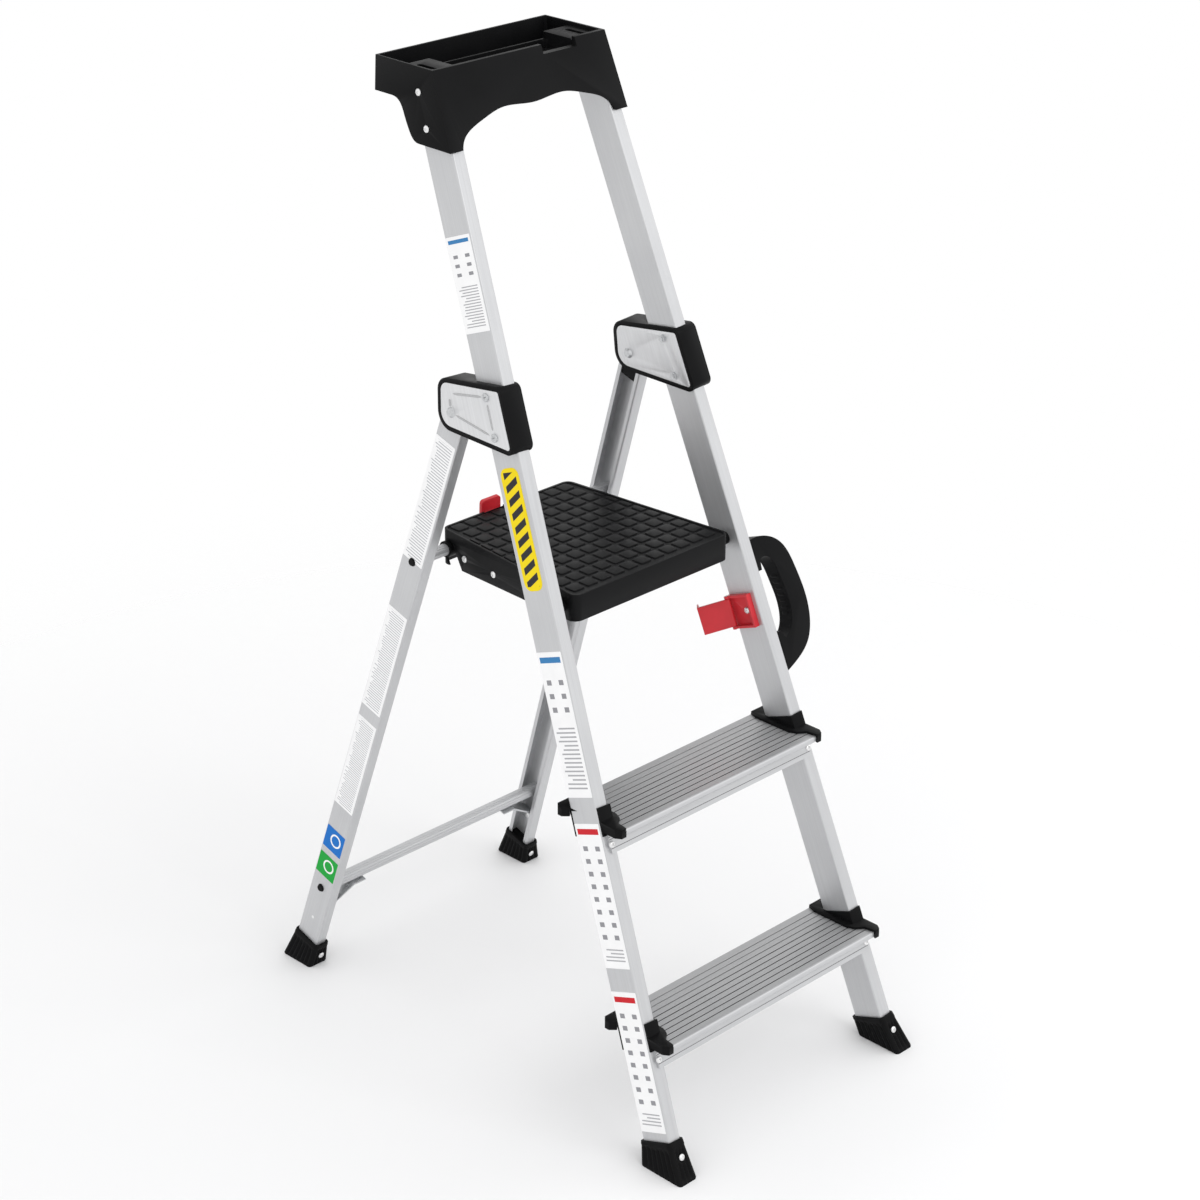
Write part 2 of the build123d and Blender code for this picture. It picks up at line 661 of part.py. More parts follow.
outer_face = casing_outside - plate_recess + plate_thickness
inner_face = stile_thickness + casing_inside - plate_recess + plate_thickness
nut_height = 4.0
with BuildPart() as hinge_bolts:
    for offset in (hinge_bolt_high, -hinge_bolt_low):
        head_plane = Plane(origin=stile_point(-outer_face, hinge_bolt_depth, hinge_along + offset),
                           z_dir=-inward_dir)
        rivet(head_plane, bolt_head, bolt_head_height, bolt_diameter / 2,
              outer_face + inner_face + nut_height)
    mirror(about=Plane.YZ)
finish(hinge_bolts.part, "hinge_bolts")

with BuildPart() as hinge_nuts:
    for offset in (hinge_bolt_high, -hinge_bolt_low):
        with BuildSketch(Plane(origin=stile_point(inner_face, hinge_bolt_depth, hinge_along + offset),
                               z_dir=inward_dir)):
            RegularPolygon(bolt_head, 6)
            Circle(bolt_diameter / 2, mode=Mode.SUBTRACT)
        extrude(amount=nut_height - 1.0)
    mirror(about=Plane.YZ)
finish(hinge_nuts.part, "hinge_nuts")

# A pin crosses both plates; its shank lies along X and its heads lie flat on the tilted plates.
with BuildPart() as pivot_pins:
    with BuildSketch(Plane(origin=pivot, z_dir=(1, 0, 0)).offset(-casing_outside - 2 * plate_thickness)):
        Circle(pin_diameter / 2)
    extrude(amount=casing_outside + stile_thickness + casing_inside + 4 * plate_thickness)
    split(bisect_by=stile_side.offset(-outer_face - 1.0), keep=Keep.TOP)
    split(bisect_by=stile_side.offset(inner_face + 1.0), keep=Keep.BOTTOM)
    with Locations(Plane(origin=stile_point(-outer_face, *pivot_2d), z_dir=-inward_dir)):
        Cone(pin_head, pin_head * 0.66, pin_head_height, align=(Align.CENTER, Align.CENTER, Align.MIN))
    with Locations(Plane(origin=stile_point(inner_face, *pivot_2d), z_dir=inward_dir)):
        Cone(pin_head, pin_head * 0.66, pin_head_height, align=(Align.CENTER, Align.CENTER, Align.MIN))
    mirror(about=Plane.YZ)
finish(pivot_pins.part, "hinge_pivot_pins")

# ---- platform --------------------------------------------------------------------------------


def turned(point, centre, angle):
    """A (back, up) point turned about a centre."""
    back, up = point[0] - centre[0], point[1] - centre[1]
    return (centre[0] + back * cos(angle) - up * sin(angle),
            centre[1] + back * sin(angle) + up * cos(angle))


def bar_seen_from_deck(leg_angle):
    """Where the upper crossbar lies relative to the deck when the legs have swung in by an angle."""
    moved = turned((bar_y_upper, upper_bar_height), (pivot.Y, pivot.Z), -radians(leg_angle))
    return turned(moved, (platform_pivot_y, platform_pivot_z), -radians(leg_angle * swing_ratio))


rail_top = platform_height - 12.0
rail_front = deck_front + 6.0
rail_rear = bar_y_upper - sleeve_diameter
deck_rivet_backs = (platform_pivot_y + 140.0, rail_rear - 12.0)
deck_rivet_height = platform_height - 28.0
side_turn = Vector(-1, deck_taper, 0).normalized()
deck_rivet_planes = [
    Plane(origin=(-deck_half(back), back, deck_rivet_height), z_dir=side_turn)
    for back in deck_rivet_backs
]
latch_centre = -23.0
latch_back = deck_rear + 6.0
latch_height = platform_height - 14.0
latch_lug = 5.0
latch_pin_diameter = 4.0
latch_hub = 5.0
latch_throw = 25.0
latch_pin_plane = Plane(origin=(latch_centre, latch_back, latch_height), z_dir=(1, 0, 0))

with BuildPart() as deck:
    with BuildSketch(Plane.XY.offset(platform_height)) as plan:
        Polygon(*deck_plan(0.0), align=None)
        fillet(plan.vertices(), platform_corner)
    extrude(amount=-platform_rear_skirt)
    with BuildSketch(Plane.YZ):
        Polygon((deck_front - 1, platform_height - platform_skirt),
                (deck_rear + 1, platform_height - platform_rear_skirt),
                (deck_rear + 1, platform_height - 2 * platform_rear_skirt),
                (deck_front - 1, platform_height - 2 * platform_rear_skirt), align=None)
    extrude(amount=floor_width, both=True, mode=Mode.SUBTRACT)
    with BuildSketch(Plane.XY.offset(platform_height - platform_skin)) as hollow:
        Polygon(*deck_plan(platform_wall), align=None)
        fillet(hollow.vertices(), platform_corner - platform_wall)
    extrude(amount=-platform_rear_skirt, mode=Mode.SUBTRACT)
    with BuildSketch(Plane.XY.offset(platform_height)) as recess:
        Polygon(*deck_plan(platform_rim), align=None)
        fillet(recess.vertices(), platform_corner - platform_rim)
    extrude(amount=-platform_recess, mode=Mode.SUBTRACT)
    with BuildSketch(Plane.XY.offset(platform_height - platform_skin)):
        for cross_rib in range(1, 5):
            back = deck_front + cross_rib * deck_rib_pitch
            with Locations((0, back)):
                Rectangle(2 * deck_half(back, platform_wall + rail_thickness + 1.5), deck_rib)
        with Locations((0, (deck_front + rail_rear) / 2)):
            with GridLocations(deck_rib_pitch, 1, 4, 1):
                Rectangle(deck_rib, rail_rear - deck_front - platform_wall)
    extrude(amount=-deck_rib_height)
    # Saddles that hook over the sleeves of the upper crossbar.
    with BuildSketch(Plane.XY.offset(platform_height - platform_skin)):
        with Locations((0, deck_rear - platform_wall)):
            with GridLocations(2 * (sleeve_centre - 5.0), 1, 2, 1):
                Rectangle(8.0, 2 * sleeve_diameter - 6.0, align=(Align.CENTER, Align.MAX))
    extrude(amount=-platform_skirt + 2.0)
    with BuildSketch(Plane.YZ) as slot:
        with BuildLine():
            for leg_angle in (0.0, 2.0, 5.0):
                CenterArc(bar_seen_from_deck(leg_angle), sleeve_diameter / 2 + hook_clearance, 0, 360)
        make_hull()
    extrude(amount=floor_width, both=True, mode=Mode.SUBTRACT)
    # Lugs and window of the lock lever, in the back wall.
    with BuildSketch(Plane.YZ.offset(latch_centre)) as lugs:
        with Locations((latch_back, latch_height)):
            Circle(latch_hub)
            Rectangle(latch_back - deck_rear + 1.0, 2 * latch_hub, align=(Align.MAX, Align.CENTER))
    extrude(amount=latch_width / 2 + latch_gap + latch_lug, both=True)
    with Locations((latch_centre, deck_rear - platform_wall, latch_height)):
        Box(latch_width + 2 * latch_gap, 40.0, 2 * platform_skirt,
            align=(Align.CENTER, Align.MIN, Align.CENTER), mode=Mode.SUBTRACT)
    with Locations(latch_pin_plane):
        Cylinder(latch_pin_diameter / 2, 2 * latch_width, mode=Mode.SUBTRACT)
    with Locations(pivot_axis):
        Cylinder(pin_diameter / 2 + 0.5, floor_width, mode=Mode.SUBTRACT)
    for plane in both_sides(deck_rivet_planes):
        with Locations(plane):
            Cylinder(rivet_shank, 4 * platform_wall, mode=Mode.SUBTRACT)
finish(deck.part, "platform_deck")

with BuildPart() as left_rail:
    with BuildSketch(Plane.XY.offset(rail_top)):
        Polygon((-deck_half(rail_front, platform_wall), rail_front),
                (-deck_half(rail_front, platform_wall + rail_thickness), rail_front),
                (-deck_half(rail_rear, platform_wall + rail_thickness), rail_rear),
                (-deck_half(rail_rear, platform_wall), rail_rear), align=None)
    extrude(amount=-rail_height)
    with Locations(pivot_axis):
        Cylinder(pin_diameter / 2 + pin_clearance, floor_width, mode=Mode.SUBTRACT)
    for plane in deck_rivet_planes:
        with Locations(plane):
            Cylinder(rivet_shank, 6 * platform_wall, mode=Mode.SUBTRACT)
    add(deck.part, mode=Mode.SUBTRACT)
finish(left_rail.part, "left_platform_rail")
with BuildPart() as right_rail:
    mirror(left_rail.part, about=Plane.YZ)
finish(right_rail.part, "right_platform_rail")

with BuildPart() as platform_rivets:
    for plane in deck_rivet_planes:
        rivet(plane, rivet_head, rivet_height, rivet_shank, platform_wall + rail_thickness + 1.5)
    mirror(about=Plane.YZ)
finish(platform_rivets.part, "platform_rivets")

# Pivot bolts, fixed to the stiles, with a spacer between stile and platform.
stile_inner_plane = stile_side.offset(stile_thickness)
rail_inner_x = -deck_half(platform_pivot_y, platform_wall + rail_thickness)
skirt_x = -deck_half(platform_pivot_y)
stile_inner_x = stile_thickness - stile_outer_x(platform_pivot_z)
with BuildPart() as platform_spacers:
    with BuildSketch(pivot_axis.offset(skirt_x - 1.6)):
        Circle(9.0)
        Circle(pin_diameter / 2, mode=Mode.SUBTRACT)
    extrude(amount=stile_inner_x - skirt_x - stile_thickness)
    split(bisect_by=stile_inner_plane, keep=Keep.TOP)
    mirror(about=Plane.YZ)
finish(platform_spacers.part, "platform_spacers")

with BuildPart() as platform_bolts:
    with BuildSketch(pivot_axis.offset(stile_inner_x - stile_wall - 6.0)):
        Circle(pin_diameter / 2)
    extrude(amount=rail_inner_x - stile_inner_x + stile_wall + 6.0 + 2.0)
    with BuildSketch(pivot_axis.offset(rail_inner_x + 1.2)):
        RegularPolygon(7.0, 6)
    extrude(amount=5.0)
    mirror(about=Plane.YZ)
finish(platform_bolts.part, "platform_pivot_bolts")

# ---- platform lock lever ---------------------------------------------------------------------
with BuildPart() as lock_lever:
    with BuildSketch(Plane.YZ.offset(latch_centre)) as lever_side:
        with Locations((latch_back, latch_height)):
            Circle(latch_hub)
            Polygon((-2.4, 0), (-2.8, 27.0), (2.2, 28.0), (3.4, 0), align=None)
        # The hooked arm is set out as locked, then turned back to the released position.
        with Locations(Location((latch_back, latch_height, 0), (0, 0, latch_throw))):
            Polygon((4.2, 0), (3.2, -25.5), (-24.0, -25.0), (-26.0, -20.0), (-5.5, -19.0),
                    (-4.2, 0), align=None)
    extrude(amount=latch_width / 2, both=True)
    with Locations(latch_pin_plane):
        Cylinder(latch_pin_diameter / 2 + pin_clearance, 2 * latch_width, mode=Mode.SUBTRACT)
    tab_edges = lock_lever.edges().filter_by(Axis.Y, tolerance=20).group_by(Axis.Z)[-1]
    fillet(tab_edges, 5.0)
finish(lock_lever.part, "platform_lock_lever")

with BuildPart() as lock_pin:
    with BuildSketch(latch_pin_plane.offset(-latch_width / 2 - latch_gap - latch_lug - 0.8)):
        Circle(latch_pin_diameter / 2)
    extrude(amount=latch_width + 2 * (latch_gap + latch_lug) + 1.6)
finish(lock_pin.part, "platform_lock_pin")

# ---- rubber feet -----------------------------------------------------------------------------
front_boot_along = along_at(front_boot_height)
with BuildPart() as left_front_foot:
    with BuildSketch(stile_section.offset(front_boot_along)):
        with Locations((stile_thickness / 2, stile_depth / 2)):
            RectangleRounded(stile_thickness + 2 * boot_wall, stile_depth + 2 * boot_wall,
                             stile_corner + boot_wall)
    with BuildSketch(Plane.XY):
        with Locations((-floor_width / 2 - boot_flare, -boot_toe)):
            RectangleRounded(stile_thickness + 1.3 * boot_flare, stile_depth + 2.2 * boot_flare,
                             stile_corner + boot_wall, align=(Align.MIN, Align.MIN))
    loft()
    add(left_stile_envelope.part, mode=Mode.SUBTRACT)
    with Locations(foot_rivet_plane):
        Cylinder(rivet_shank, 2 * boot_toe, mode=Mode.SUBTRACT)
        Cylinder(rivet_head + 1.0, 2 * boot_toe, align=(Align.CENTER, Align.CENTER, Align.MIN),
                 mode=Mode.SUBTRACT)
finish(left_front_foot.part, "left_front_foot")
with BuildPart() as right_front_foot:
    mirror(left_front_foot.part, about=Plane.YZ)
finish(right_front_foot.part, "right_front_foot")

rear_boot_along = leg_floor_along + rear_boot_height
with BuildPart() as left_rear_foot:
    with BuildSketch(leg_section.offset(rear_boot_along)):
        with Locations((leg_thickness / 2, 0)):
            RectangleRounded(leg_thickness + 2 * boot_wall, leg_depth + 2 * boot_wall,
                             stile_corner + boot_wall)
    with BuildSketch(Plane.XY):
        with Locations((leg_point(0, 0, leg_floor_along).X - boot_flare,
                        leg_centre_y(0.0) - leg_depth / 2 - boot_flare)):
            RectangleRounded(leg_thickness + 1.5 * boot_flare, leg_depth + 2 * boot_flare,
                             stile_corner + boot_wall, align=(Align.MIN, Align.MIN))
    loft()
    add(left_leg_envelope.part, mode=Mode.SUBTRACT)
    with Locations(rear_foot_rivet_plane):
        Cylinder(rivet_shank, 2 * boot_toe, mode=Mode.SUBTRACT)
        Cylinder(rivet_head + 1.0, 2 * boot_toe, align=(Align.CENTER, Align.CENTER, Align.MIN),
                 mode=Mode.SUBTRACT)
finish(left_rear_foot.part, "left_rear_foot")
with BuildPart() as right_rear_foot:
    mirror(left_rear_foot.part, about=Plane.YZ)
finish(right_rear_foot.part, "right_rear_foot")

with BuildPart() as front_foot_rivets:
    rivet(foot_rivet_plane, rivet_head, rivet_height, rivet_shank, boot_rivet_depth + stile_wall + 2.5)
    mirror(about=Plane.YZ)
finish(front_foot_rivets.part, "front_foot_rivets")
with BuildPart() as rear_foot_rivets:
    rivet(rear_foot_rivet_plane, rivet_head, rivet_height, rivet_shank, boot_rivet_depth + leg_wall + 2.5)
    mirror(about=Plane.YZ)
finish(rear_foot_rivets.part, "rear_foot_rivets")

# ---- tool tray -------------------------------------------------------------------------------
tray_front_at_top = tan(lean) * tray_height - tray_lead / cos(lean)
tray_rear = tray_front_at_top + tray_back
tray_bottom = tray_height - tray_skirt
tray_underside = tray_height - tray_depth
tray_inside = stile_outer_x(tray_height) + tray_side_wall - tray_wall - 1.0
tray_ledge_front = tray_front_at_top + 5.0
tray_ledge_rear = tray_ledge_front + 53.0
ledge_height = tray_height - 5.0
ledge_half = stile_outer_x(tray_height) - stile_thickness - 15.5
recess_floor = tray_height - 24.0
divider_height = tray_height - 14.0
cup_radius = 25.0
cup_x = ledge_half - cup_radius - 16.0
cup_y = tray_ledge_front + cup_radius + 2.0
cup_drop = 16.0              # cup's underside below the tray's
notch_depth = 11.0
slot_length = 38.0
slot_width = 8.0
tray_side_planes = both_sides([Plane(origin=stile_point(-tray_side_wall, 0, 0), z_dir=inward_dir)])
stile_outer_planes = both_sides([Plane(origin=stile_point(0, 0, 0), z_dir=inward_dir)])

arch_half = stile_outer_x(tray_bottom) - stile_thickness + 5.0

with BuildPart() as under_tray:
    with BuildSketch(Plane.YZ):
        Polygon((tan(lean) * (tray_bottom - 20), tray_bottom - 20),
                (tan(lean) * (recess_floor - tray_wall), recess_floor - tray_wall),
                (tray_ledge_rear, recess_floor - tray_wall), (tray_ledge_rear, tray_underside),
                (tray_rear + 20, tray_underside), (tray_rear + 20, tray_bottom - 20), align=None)
    extrude(amount=floor_width, both=True)
    with BuildSketch(Plane.YZ.offset(ledge_half)):
        Polygon((tan(lean) * tray_underside, tray_underside), (tan(lean) * stile_top, stile_top),
                (tray_ledge_rear, stile_top), (tray_ledge_rear, tray_underside), align=None)
    shelf_room = extrude(amount=floor_width)
    mirror(shelf_room, about=Plane.YZ)
    for plane in stile_outer_planes:
        split(bisect_by=plane, keep=Keep.TOP)

with BuildPart() as tool_tray:
    with BuildSketch(Plane.YZ):
        with BuildLine():
            shoulder = Spline((tray_rear - 32.0, tray_underside), (tray_rear - 56.0, tray_underside - 20.0),
                              (tray_rear - 66.0, tray_bottom + 12.0), (tray_rear - 84.0, tray_bottom),
                              tangents=[(-1, 0), (-1, 0)])
            Polyline(shoulder @ 1, (tan(lean) * tray_bottom - tray_lead / cos(lean), tray_bottom),
                     (tray_front_at_top, tray_height), (tray_rear, tray_height),
                     (tray_rear, tray_underside), shoulder @ 0)
        make_face()
    extrude(amount=floor_width, both=True)
    for plane in tray_side_planes:
        split(bisect_by=plane, keep=Keep.TOP)
    add(under_tray.part, mode=Mode.SUBTRACT)
    # Arched lower edge of the front skirt.
    with BuildSketch(Plane.XZ):
        with BuildLine():
            half_arch = [(arch_half, tray_bottom - 1), (arch_half - 8, tray_bottom + 13),
                         (arch_half - 24, tray_bottom + 22), (arch_half - 46, tray_bottom + 29),
                         (arch_half - 77, tray_bottom + 36), (0, tray_bottom + 33)]
            arch = Spline(*half_arch, *[(-x, z) for x, z in reversed(half_arch[:-1])])
            Line(arch @ 1, arch @ 0)
        make_face()
    extrude(amount=-(tray_rear - 90.0), mode=Mode.SUBTRACT)
    # Compartments.
    pockets = (
        (ledge_height, tray_inside, tray_ledge_front, tray_rear - tray_wall, 4.0),
        (divider_height, ledge_half - 8.0, tray_ledge_front, tray_rear - tray_wall, 8.0),
        (recess_floor, ledge_half - 8.0, tray_ledge_front, tray_ledge_rear, 8.0),
        (tray_underside + tray_wall, tray_inside, tray_ledge_rear + tray_wall, tray_rear - tray_wall, 4.0),
    )
    for floor_height, half, near, far, corner in pockets:
        with BuildSketch(Plane.XY.offset(floor_height)):
            with Locations((0, (near + far) / 2)):
                RectangleRounded(2 * half, far - near, corner)
        extrude(amount=tray_height, mode=Mode.SUBTRACT)
    # Round cup with its notch in the front wall.
    with BuildSketch(Plane.XY.offset(tray_underside - cup_drop)):
        with Locations((cup_x, cup_y)):
            Circle(cup_radius + tray_wall)
    extrude(until=Until.NEXT)
    with BuildSketch(Plane.XY.offset(tray_underside - cup_drop + tray_wall)):
        with Locations((cup_x, cup_y)):
            Circle(cup_radius)
    extrude(amount=tray_height, mode=Mode.SUBTRACT)
    with BuildSketch(Plane.XY.offset(tray_height - notch_depth)):
        with Locations((cup_x, tray_ledge_front)):
            Rectangle(2 * cup_radius + 8.0, 30.0)
    extrude(amount=tray_height, mode=Mode.SUBTRACT)
    # Tool slots over the stiles' open tops.
    with BuildSketch(Plane.XY.offset(stile_top - 1.0)):
        with Locations((0, tray_ledge_front + 25.0)):
            with GridLocations(2 * (ledge_half + 21.0), 1, 2, 1):
                SlotOverall(slot_length, slot_width, rotation=90)
    extrude(amount=tray_height, mode=Mode.SUBTRACT)
    add(left_stile_envelope.part, mode=Mode.SUBTRACT)
    mirror(left_stile_envelope.part, about=Plane.YZ, mode=Mode.SUBTRACT)
    for plane in both_sides(tray_rivet_planes):
        with Locations(plane):
            Cylinder(rivet_shank, 4 * tray_side_wall, mode=Mode.SUBTRACT)
finish(tool_tray.part, "tool_tray")

with BuildPart() as tray_rivets:
    for plane in tray_rivet_planes:
        rivet(plane, rivet_head, rivet_height, rivet_shank, tray_side_wall + stile_wall + 2.5)
    mirror(about=Plane.YZ)
finish(tray_rivets.part, "tray_rivets")

# ---- carry handle on the +X stile (drawn on the -X side, then mirrored) -----------------------
handle_plane = Plane(origin=stile_point(0, handle_depth_position, 0), x_dir=-inward_dir, z_dir=depth_dir)
screw_seat = 9.0
with BuildPart() as handle_twin:
    with BuildSketch(handle_plane):
        with BuildLine():
            outer = Spline((0, handle_low - 2), (16, handle_low + 3), (52, handle_low + 23),
                           (handle_reach, handle_low + 66), (handle_reach - 3, handle_low + 120),
                           (handle_reach - 16, handle_low + 160), (26, handle_high - 2), (0, handle_high))
            inner = Spline((14, handle_low + 40), (33, handle_low + 56),
                           (handle_reach - handle_grip - 11, handle_low + 84),
                           (handle_reach - handle_grip - 14, handle_low + 116), (22, handle_high - 29),
                           (9, handle_high - 29))
            Polyline(outer @ 1, (0, handle_high - 43), (7, handle_high - 43), inner @ 1)
            Polyline(inner @ 0, (7, handle_low + 52), (0, handle_low + 52), outer @ 0)
        make_face()
    extrude(amount=handle_width / 2, both=True)
    for plane in handle_screw_planes:
        with Locations(plane):
            Cylinder(rivet_shank, 4 * screw_seat, mode=Mode.SUBTRACT)
        with Locations(plane.offset(screw_seat)):
            Cylinder(5.5, handle_reach, align=(Align.CENTER, Align.CENTER, Align.MIN), mode=Mode.SUBTRACT)
with BuildPart() as carry_handle:
    mirror(handle_twin.part, about=Plane.YZ)
finish(carry_handle.part, "carry_handle")

with BuildPart() as handle_screws_twin:
    for plane in handle_screw_planes:
        rivet(plane.offset(screw_seat), rivet_head, rivet_height, rivet_shank,
              screw_seat + stile_wall + 4.0)
with BuildPart() as handle_screws:
    mirror(handle_screws_twin.part, about=Plane.YZ)
finish(handle_screws.part, "handle_screws")

# ---- storage clip on the +X stile (drawn on the -X side, then mirrored) -----------------------
clip_front = 8.0
clip_plate = 3.0
clip_end = 3.5
clip_gap = 0.5
clip_pin_diameter = 3.0
clip_pin_depth = 45.0
clip_pin_lift = 8.5
clip_throw = 45.0
clip_lever_thickness = 5.0
clip_half = clip_height / 2
hook_depth = hinge_setback - leg_depth / 2 + leg_lip + 1.2
hook_tip = leg_thickness - leg_step - 5.0
clip_plane = stile_section.offset(clip_along)
clip_pin_axis = (stile_thickness + clip_pin_lift, clip_pin_depth, 0)
clip_pin_plane = Plane(origin=clip_plane.from_local_coords(clip_pin_axis), z_dir=along_dir)
with BuildPart() as clip_base_twin:
    with BuildSketch(clip_plane):
        with Locations((stile_thickness, clip_front)):
            Rectangle(clip_plate, stile_depth - 2.0 - clip_front, align=(Align.MIN, Align.MIN))
            Rectangle(clip_pin_lift, clip_plate, align=(Align.MIN, Align.MIN))
    extrude(amount=clip_half, both=True)
    for start in (clip_half - clip_end, -clip_half):
        with BuildSketch(clip_plane.offset(start)):
            with Locations((stile_thickness, clip_front)):
                Rectangle(clip_pin_lift, clip_pin_depth - clip_front, align=(Align.MIN, Align.MIN))
            with Locations((stile_thickness + clip_pin_lift, clip_pin_depth)):
                Circle(clip_pin_diameter + 0.6)
        extrude(amount=clip_end)
    with Locations(clip_pin_plane):
        Cylinder(clip_pin_diameter / 2, 4 * clip_half, mode=Mode.SUBTRACT)
    with Locations(clip_screw_plane):
        Cylinder(rivet_shank, 4 * clip_plate, mode=Mode.SUBTRACT)
with BuildPart() as clip_base:
    mirror(clip_base_twin.part, about=Plane.YZ)
finish(clip_base.part, "storage_clip_base")

lever_half = clip_half - clip_end - clip_gap
with BuildPart() as clip_lever_twin:
    with BuildSketch(clip_plane):
        with Locations(Location((stile_thickness + clip_pin_lift, clip_pin_depth, 0), (0, 0, -clip_throw))):
            reach = hook_depth - clip_pin_depth
            Circle(clip_pin_diameter + 0.6)
            Polygon((clip_lever_thickness / 2 + 1.0, 0), (clip_lever_thickness / 2 + 1.0, reach + 3.5),
                    (hook_tip - stile_thickness - clip_pin_lift, reach + 3.5),
                    (hook_tip - stile_thickness - clip_pin_lift, reach + 1.5),
                    (-clip_lever_thickness / 2 + 1.0, reach), (-clip_lever_thickness / 2 + 1.0, 0),
                    align=None)
    extrude(amount=lever_half, both=True)
    with Locations(clip_pin_plane):
        Cylinder(clip_pin_diameter / 2 + pin_clearance, 4 * clip_half, mode=Mode.SUBTRACT)
with BuildPart() as clip_lever:
    mirror(clip_lever_twin.part, about=Plane.YZ)
finish(clip_lever.part, "storage_clip_lever")

with BuildPart() as clip_pin_twin:
    with BuildSketch(clip_plane.offset(-clip_half - 0.8)):
        with Locations((stile_thickness + clip_pin_lift, clip_pin_depth)):
            Circle(clip_pin_diameter / 2)
    extrude(amount=2 * clip_half + 1.6)
with BuildPart() as clip_pin:
    mirror(clip_pin_twin.part, about=Plane.YZ)
finish(clip_pin.part, "storage_clip_pin")

with BuildPart() as clip_screw_twin:
    rivet(clip_screw_plane.offset(clip_plate), rivet_head, rivet_height, rivet_shank,
          clip_plate + stile_wall + 4.0)
with BuildPart() as clip_screw:
    mirror(clip_screw_twin.part, about=Plane.YZ)
finish(clip_screw.part, "storage_clip_screw")

# ---- origin and files ------------------------------------------------------------------------
# The ladder is moved so that the bottom centre of its overall box is the origin.
whole = Compound(children=list(pieces.values())).bounding_box()
to_origin = Location((-whole.center().X, -whole.center().Y, -whole.min.Z))
for node, piece in pieces.items():
    placed = Part(piece.moved(to_origin).wrapped)
    placed.label = node
    export_step(placed, f"parts/{node}.step")
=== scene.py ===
"""Looks of the folding step ladder: moulded and pressed pieces, finishes, labels, floor, light and camera."""
import json
import math

import bmesh
import bpy
import numpy as np
from bpy.props import FloatProperty, FloatVectorProperty, IntProperty, PointerProperty
from mathutils import Matrix, Vector


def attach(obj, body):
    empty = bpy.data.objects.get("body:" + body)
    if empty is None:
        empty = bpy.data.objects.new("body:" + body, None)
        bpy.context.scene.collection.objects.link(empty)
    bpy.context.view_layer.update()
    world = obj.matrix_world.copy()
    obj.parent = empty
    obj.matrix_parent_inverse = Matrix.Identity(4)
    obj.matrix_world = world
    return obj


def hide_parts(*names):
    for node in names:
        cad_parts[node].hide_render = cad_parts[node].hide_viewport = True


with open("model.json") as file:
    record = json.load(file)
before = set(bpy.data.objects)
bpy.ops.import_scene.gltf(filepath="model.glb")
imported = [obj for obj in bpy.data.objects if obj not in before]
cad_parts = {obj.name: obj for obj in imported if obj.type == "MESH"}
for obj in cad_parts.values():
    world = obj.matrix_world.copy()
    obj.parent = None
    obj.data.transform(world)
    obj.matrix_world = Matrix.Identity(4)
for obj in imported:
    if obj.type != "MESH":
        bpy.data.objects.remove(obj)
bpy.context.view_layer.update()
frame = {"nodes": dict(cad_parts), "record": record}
NODES = frame["nodes"]
BODY_OF = {node: body for body, nodes in frame["record"]["behaviour"]["bodies"].items() for node in nodes}
SLOT_OF = {part["node"]: part["material_slot"] for part in frame["record"]["subparts"]}

bl_info = {
    "name": "Step ladder looks",
    "version": (1, 0, 0),
    "blender": (4, 5, 0),
    "location": "3D View > Sidebar > Ladder",
    "description": "Builds the detailed pieces, finishes and studio of a folding step ladder",
    "category": "Object",
}


# ---- sizes and colours -----------------------------------------------------------------------


def length(name, description, value):
    """A length property."""
    return FloatProperty(name=name, description=description, default=value, unit="LENGTH")


def angled(name, description, degrees):
    """An angle property."""
    return FloatProperty(name=name, description=description, default=math.radians(degrees), subtype="ANGLE")


class LadderSizes(bpy.types.PropertyGroup):
    """Sizes of the pieces that are built here."""
    pad_pitch: length("Pad pitch", "Distance between the deck's grip pads", 0.0240)
    pad_gap: length("Pad gap", "Space between two grip pads", 0.0046)
    pad_corner: length("Pad corner", "Radius of a pad's corners", 0.0026)
    pad_margin: length("Pad margin", "Plain strip inside the deck's side rims", 0.0030)
    first_row: length("First row", "Recess's front to the middle of the first pads", 0.0195)
    pad_height: length("Pad height", "Height of a pad over the recess", 0.00145)
    deck_taper: angled("Deck taper", "Angle of the deck's sides", 5.6)
    moulded_edge: length("Moulded edge", "Radius of the mouldings' edges", 0.0009)
    handle_edge: length("Handle edge", "Radius of the carry handle's edges", 0.0042)
    boot_wall: length("Boot wall", "Rubber round the tube at the boot's collar", 0.003)
    flute_depth: length("Flute depth", "Depth of the boots' flutes", 0.0021)
    side_flutes: IntProperty(name="Side flutes", description="Flutes on each side of a boot", default=6)
    front_flutes: IntProperty(name="Front flutes", description="Flutes on the front and back of a boot",
                              default=3)
    label_thickness: length("Label thickness", "Thickness of the stuck-on labels", 0.0003)
    label_margin: length("Label margin", "Bare metal beside a label", 0.0022)
    label_corner: length("Label corner", "Radius of the labels' corners", 0.001)
    ridge_width: length("Ridge width", "Width of the hinge plates' pressed lines", 0.0032)
    ridge_height: length("Ridge height", "Height of the hinge plates' pressed lines", 0.0011)


def colour(name, description, value):
    """A colour property."""
    return FloatVectorProperty(name=name, description=description, default=value, subtype="COLOR",
                               min=0, max=1)


